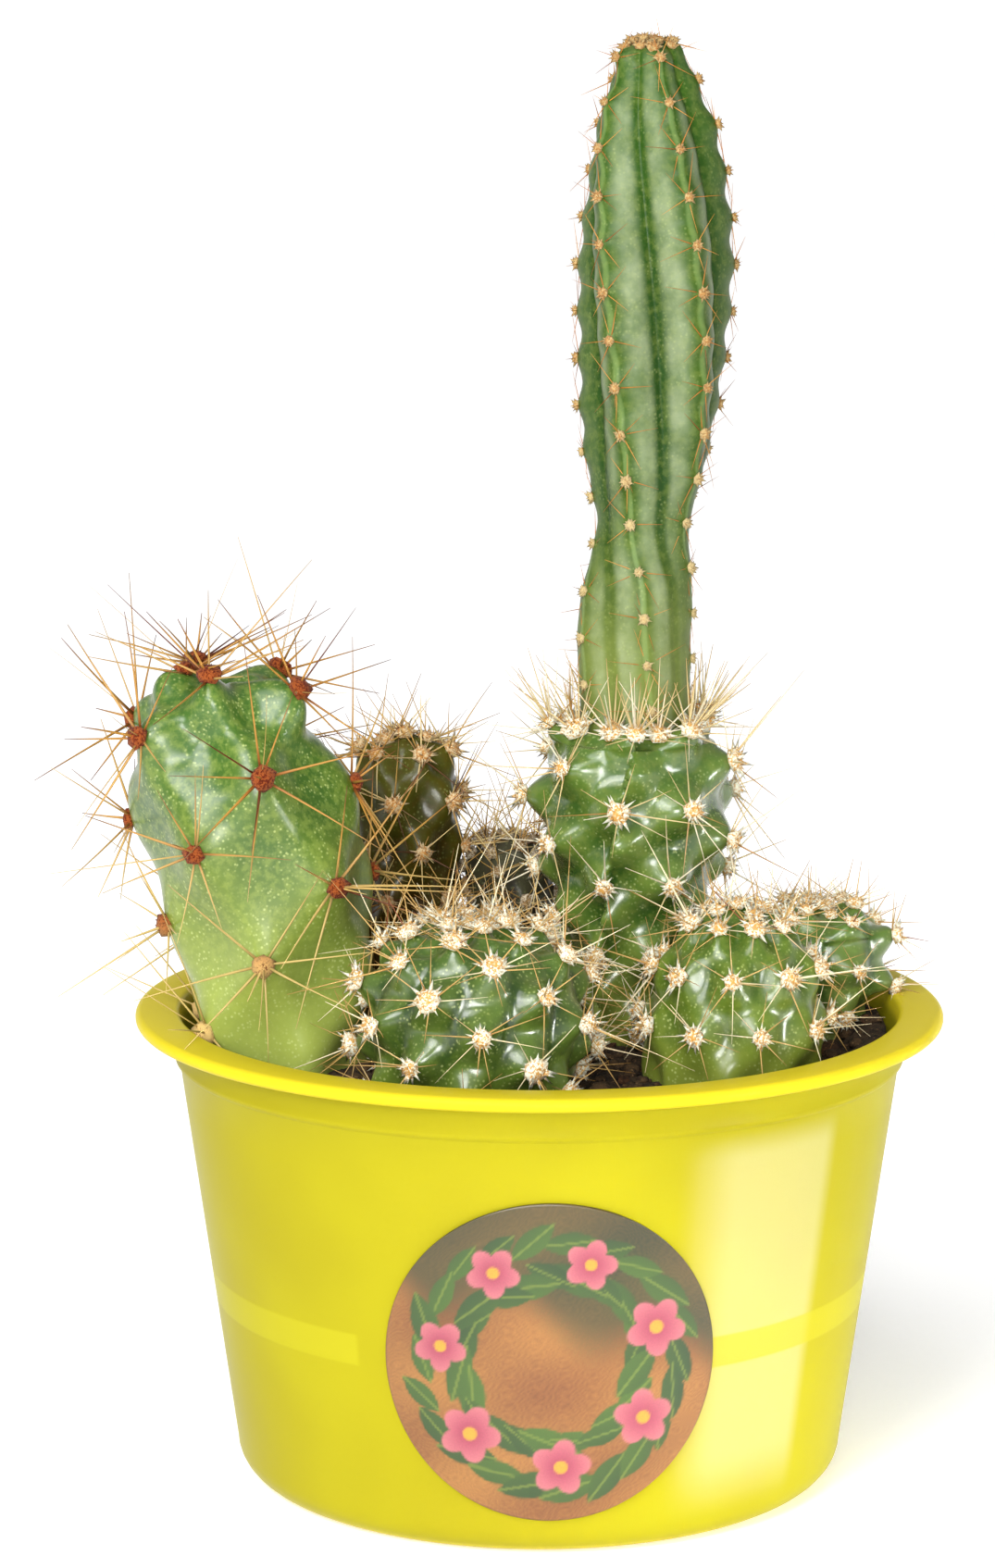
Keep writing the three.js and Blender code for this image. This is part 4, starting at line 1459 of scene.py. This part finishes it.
def make_cacti() -> list[Cactus]:
    """Describes every plant in the pot.

    Returns:
        The plants, in the order in which they are built.
    """
    left = Cactus(
        node="left_cactus", seed=1,
        centre=((50, -37.4, -8), (66, -37.6, -8), (76, -38.4, -8.2), (86, -39.3, -8.6), (99, -42.2, -9),
                (110, -45.3, -9), (122, -46.6, -9)),
        profile=((52, 12.2), (64, 13.1), (70, 14.1), (76, 14.9), (84, 15.8), (95, 17.1), (104, 17),
                 (111, 15.8)),
        top=123, crown_power=0.6, apex_dip=4, ribs=10, pitch=29.5, first_rib=148, twist=0.83,
        row_start=-5.4, row_tilt=4.6, knob=2.6, crown_knob=1.3, wobble=0.2, knob_keenness=1.35,
        skin=Skin("left_skin", "455d15", "2c4d0f", "939f49", "37591f", 0.7, 0.5, 0.34, mottle=0.12,
                  gloss=0.5, coat_roughness=0.26),
        wool=RED_WOOL, wool_size=2.35, tuft_shape=PAD, needle=GOLD,
        spines=(SpineSet(7, 72, 10, (11, 22), 0.46, 0.05, (0, 0.6)),
                SpineSet(1, 18, 14, (6, 11), 0.5, 0.03, (0, 0.3)),
                SpineSet(2, 60, 22, (17, 24), 0.32, 0.05, (0.3, 0.8), chance=0.25),
                SpineSet(2, 60, 25, (13, 20), 0.38, 0.04, (0.9, 1), chance=0.25, above=0.45),
                SpineSet(1, 48, 25, (13, 20), 0.16, 0.3, (0.7, 0.8), above=0.75)))
    back_left = Cactus(
        node="back_left_cactus", seed=2,
        centre=((50, -21.5, 24), (107, -20.5, 24.5)),
        profile=((52, 8), (66, 8.6), (84, 9.3), (97, 9.2)),
        top=107, crown_power=0.7, ribs=12, pitch=15, first_rib=186, twist=0.3,
        knob=2.1, columns_per_rib=12, crown_cushions=(4, 4.0, 1.0, 0.4),
        skin=Skin("back_left_skin", "3a390b", "1a1d03", "462a09", "464611", 0.8, 0.2, 0.35, gloss=0.3,
                  sheen=0.1),
        wool=DULL_WOOL, wool_size=2.5, needle=BROWN,
        spines=(SpineSet(6, 66, 12, (6, 12), 0.32, 0.05), SpineSet(1, 15, 14, (4, 8), 0.3),
                SpineSet(2, 60, 25, (9, 15), 0.3, 0.06, (0.1, 0.7), chance=0.6)))
    woolly = Cactus(
        node="woolly_cactus", seed=8,
        centre=((50, -4.8, 27), (91, -4.8, 27)),
        profile=((52, 6.2), (66, 6.7), (80, 7.1), (84, 7)),
        top=91, crown_power=0.8, ribs=10, pitch=9, first_rib=190, twist=0.3,
        groove=0.1, notch=0.9, columns_per_rib=12, crown_cushions=(12, 7.0, 1.1, 0.3),
        skin=Skin("woolly_skin", "313019", "19160d", "302414", "3e3d2b", 0.8, 0.1, 0.6, gloss=0.1),
        wool=DRY_WOOL, wool_size=1.9, tuft_shape=FLUFF, needle=BROWN,
        spines=(SpineSet(6, 60, 16, (6, 13), 0.28, 0.05), SpineSet(4, 40, 30, (3, 8), 0.22, 0.2)))
    front = Cactus(
        node="front_cactus", seed=3,
        centre=((50, -9.2, -28), (89, -9.2, -28)),
        profile=((52, 14.4), (64, 15.6), (71, 17.1), (76, 17.1)),
        top=89, crown_power=0.85, apex_dip=0.8, ribs=12, pitch=9.8, first_rib=194, twist=0.9,
        groove=0.15, notch=2.5, crown_cushions=(8, 6.0, 0.85, 0.25),
        skin=Skin("front_skin", "42561f", "213612", "5a6c25", "3b551c", 0.4, 0.4, 0.28, gloss=0.8),
        wool=CREAM_WOOL, wool_size=2.8, needle=STRAW,
        spines=(SpineSet(6, 68, 12, (5, 10), 0.26, 0.05, (0, 0.7)),
                SpineSet(1, 24, 16, (7, 12), 0.32, 0.04, (0.2, 0.85)),
                SpineSet(2, 58, 20, (11, 18), 0.3, 0.04, (0.0, 0.85), chance=0.3),
                SpineSet(4, 50, 26, (7, 12), 0.28, 0.05, (0, 1), chance=0.4, above=0.78)))
    stock = Cactus(
        node="stock_cactus", seed=4,
        centre=((50, 14, 8), (114, 14, 8)),
        profile=((52, 9.6), (66, 10.4), (76, 11.4), (84, 12.9), (90, 14.5), (96, 15.9), (101, 16),
                 (106, 15), (109, 13.8)),
        top=114, crown_power=0.7, ribs=9, pitch=11.6, first_rib=178, twist=0.8, row_start=1.4,
        groove=0.05, knob=2.9, knob_keenness=1.2, columns_per_rib=22, dimple=(8.9, 108.6),
        seat_cushions=10.6,
        skin=Skin("stock_skin", "526829", "274313", "717933", "435e20", 0.4, 0.35, 0.26, gloss=0.8),
        wool=CREAM_WOOL, wool_size=2.75, needle=IVORY,
        spines=(SpineSet(6, 68, 12, (6, 12), 0.28, 0.04), SpineSet(1, 22, 16, (7, 13), 0.34, 0.04),
                SpineSet(2, 60, 20, (12, 18), 0.3, 0.04, (0, 0.7), chance=0.3),
                SpineSet(7, 44, 24, (7, 13), 0.4, 0.03, (0, 0.7), upward=0.7, above=0.86)))
    column = Cactus(
        node="tall_column", seed=5,
        centre=((108.8, 14.2, 8), (123, 13.9, 8), (131, 14.3, 8), (148, 16, 8), (178, 16.8, 8),
                (212, 15.9, 8)),
        profile=((108.8, 8.4), (123, 8.7), (131, 8.5), (141, 7.2), (149, 9.2), (158, 10.9), (170, 11.9),
                 (180, 12.1), (191, 11.1), (200, 9.4), (208, 6)),
        top=212, crown_power=0.5, ribs=5, pitch=6.9, first_rib=241, twist=-0.62,
        groove=0.28, notch=0.75, relief=Relief.FLAT, turn_span=(131, 142, -17),
        full_relief=(138, 160, 0.25), wobble=0.1, columns_per_rib=36, soil_line=110,
        crown_cushions=(11, 4.6, 1.25, 0.0),
        # Its skin has a wax bloom with a painted sheen towards the front.
        skin=Skin("column_skin", "344d14", "19360a", "6b7634", "2a4a11", 0.36, 0.12, 0.38, wax_and_sheen=0.4,
                  edge_line=0.26, mottle=0.3, gloss=0.05, coat_roughness=0.3, sheen=0.1),
        wool=TAN_WOOL, wool_size=1.45, tuft_shape=FLUFF, needle=AMBER,
        spines=(SpineSet(5, 87, 4, (3.5, 6.5), 0.18, 0.04), SpineSet(1, 60, 20, (1.5, 3), 0.15)))
    right = Cactus(
        node="right_cactus", seed=6,
        centre=((50, 28, -18.5), (88, 28.6, -18.5)),
        profile=((52, 12), (64, 13.2), (69, 13.8), (73, 13.5), (76, 12.5)),
        top=89.8, crown_power=1.15, apex_dip=0.6, ribs=18, pitch=16, first_rib=182, twist=0.3,
        knob=1.8, columns_per_rib=12, crown_cushions=(7, 5.2, 0.85, 0.25),
        skin=Skin("right_skin", "4e621c", "324911", "6e782d", "355114", 0.5, 0.42, 0.32),
        wool=CREAM_WOOL, wool_size=2.6, needle=STRAW,
        spines=(SpineSet(6, 68, 12, (5, 10), 0.26, 0.04, (0, 0.7)),
                SpineSet(1, 25, 15, (7, 12), 0.32, 0.04, (0.2, 0.85)),
                SpineSet(1, 60, 20, (12, 17), 0.42, 0.03, (0.6, 0.8), chance=0.3),
                SpineSet(4, 50, 26, (7, 12), 0.28, 0.05, (0, 1), chance=0.35, above=0.74)))
    right_back = Cactus(
        node="right_back_cactus", seed=7,
        centre=((50, 41, 10.5), (64, 41.6, 10.5), (87, 42, 10)),
        profile=((52, 7.4), (63, 8.4), (68, 9.9), (72, 12), (76, 12.1), (79.5, 11.4)),
        top=83.6, crown_power=0.7, apex_dip=0.5, ribs=7, pitch=7.8, first_rib=98, twist=0.4,
        row_start=-2.2, groove=0.22, notch=2.2, columns_per_rib=20, crown_cushions=(4, 4.0, 0.9, 0.4),
        skin=Skin("right_back_skin", "576c2f", "2b4317", "646d34", "456124", 0.4, 0.35, 0.3),
        wool=CREAM_WOOL, wool_size=2.3, needle=STRAW,
        spines=(SpineSet(6, 64, 12, (5, 9), 0.26, 0.05, (0, 0.85)), SpineSet(1, 20, 15, (5, 8), 0.3)))
    return [left, back_left, woolly, front, stock, column, right, right_back]


# ---- studio
def turned_to(way: Vector) -> Euler:
    """Gives the turn that points a light along a way."""
    return way.to_track_quat("-Z", "Y").to_euler()


@dataclass(frozen=True)
class Softbox:
    """One square soft light, in metres and watts, that faces the pot's axis at the height `aim`.

    The grid in front of it lets an angle of `grid` degrees through.
    """

    name: str
    place: tuple[float, float, float]
    size: float
    power: float
    grid: float = 180.0
    aim: float = 0.09

    def hang(self) -> None:
        """Adds the light."""
        lamp = bpy.data.lights.new(self.name, "AREA")
        lamp.shape, lamp.size, lamp.size_y, lamp.energy = "RECTANGLE", self.size, self.size, self.power
        lamp.spread = math.radians(self.grid)
        light = add_object(self.name, lamp)
        light.location = self.place
        light.rotation_euler = turned_to(Vector((0, 0, self.aim)) - Vector(self.place))


SOFTBOXES = (Softbox("key", (-0.45, -0.8, 0.62), 0.5, 9.4),
             Softbox("side", (0.6, -0.36, 0.05), 0.1, 0.06, 16, 0.015),
             Softbox("front", (0.05, -1.0, 0.3), 0.3, 7.8))


@dataclass
class Studio:
    """A pale floor, soft light and the camera, a little above the pot's rim and in front of it."""

    photo_height: int = 1694
    focal_pixels: float = 4791.0
    camera_distance: float = 645.3
    camera_height: float = 217.0
    pitch: float = 9.97
    axis_offset: float = 46.0
    floor_radius: float = 40.0
    floor_lip: float = 6.0
    surroundings: float = 0.34
    floor_glow: float = 0.28
    sun_power: float = 1.5
    sun_spread: float = 34.0
    sun_place: tuple[float, float, float] = (-0.26, -0.6, 0.85)

    def build(self) -> None:
        """Adds the floor, the light and the camera."""
        self.lay_floor()
        self.hang_lights()
        self.set_camera()

    def lay_floor(self) -> None:
        """Adds the pale floor."""
        shape = bmesh.new()
        rim = [shape.verts.new(spot) for spot in ((0, 0, 0), (self.floor_radius, 0, 0),
                                                  (self.floor_radius, 0, self.floor_lip))]
        edges = [shape.edges.new(pair) for pair in zip(rim, rim[1:])]
        bmesh.ops.spin(shape, geom=[*rim, *edges], axis=(0, 0, 1), cent=(0, 0, 0), angle=math.tau,
                       steps=64, use_merge=True)
        bmesh.ops.remove_doubles(shape, verts=shape.verts, dist=0.001)
        floor = add_object("floor", to_mesh("floor", shape))
        paint = Paint("pale_floor")
        paint.set(Base_Color=(0.98, 0.98, 0.98, 1), Roughness=0.8, Specular_IOR_Level=0.1,
                  Emission_Color=(1, 1, 1, 1), Emission_Strength=self.floor_glow)
        floor.data.materials.append(paint.material)

    def hang_lights(self) -> None:
        """Adds the studio lights and the pale surroundings."""
        world = bpy.data.worlds.new("surroundings")
        bpy.context.scene.world = world
        world.use_nodes = True
        back = world.node_tree.nodes["Background"]
        back.inputs["Color"].default_value = (1, 1, 1, 1)
        back.inputs["Strength"].default_value = self.surroundings
        sun = bpy.data.lights.new("sky_light", "SUN")
        sun.energy, sun.angle = self.sun_power, math.radians(self.sun_spread)
        add_object("sky_light", sun).rotation_euler = turned_to(-Vector(self.sun_place))
        for softbox in SOFTBOXES:
            softbox.hang()
        bpy.context.scene.view_settings.view_transform = "Standard"

    def set_camera(self) -> None:
        """Places the camera where the photograph was taken from."""
        data = bpy.data.cameras.new("camera")
        data.sensor_fit, data.sensor_width = "AUTO", 36.0
        data.lens = data.sensor_width * self.focal_pixels / self.photo_height
        data.clip_start, data.clip_end = 0.01, 50
        camera = add_object("camera", data)
        camera.location = Vector((0, -self.camera_distance, self.camera_height)) * MM
        turn = math.atan(self.axis_offset / self.focal_pixels)
        camera.rotation_euler = (math.radians(90 - self.pitch), 0, turn)
        bpy.context.scene.camera = camera


def main() -> None:
    """Builds the pot, its contents and the studio."""
    logging.basicConfig(level=logging.INFO, format="%(name)s %(message)s")
    pot = Pot()
    plants = make_cacti()
    pot.build()
    RoundLabel(pot).build()
    Soil(pot, [p for p in plants if p.node != "tall_column"]).build()
    free = Clearance(pot, plants)
    for plant in plants:
        plant.build(free)
    Studio().build()


if __name__ == "__main__":
    main()
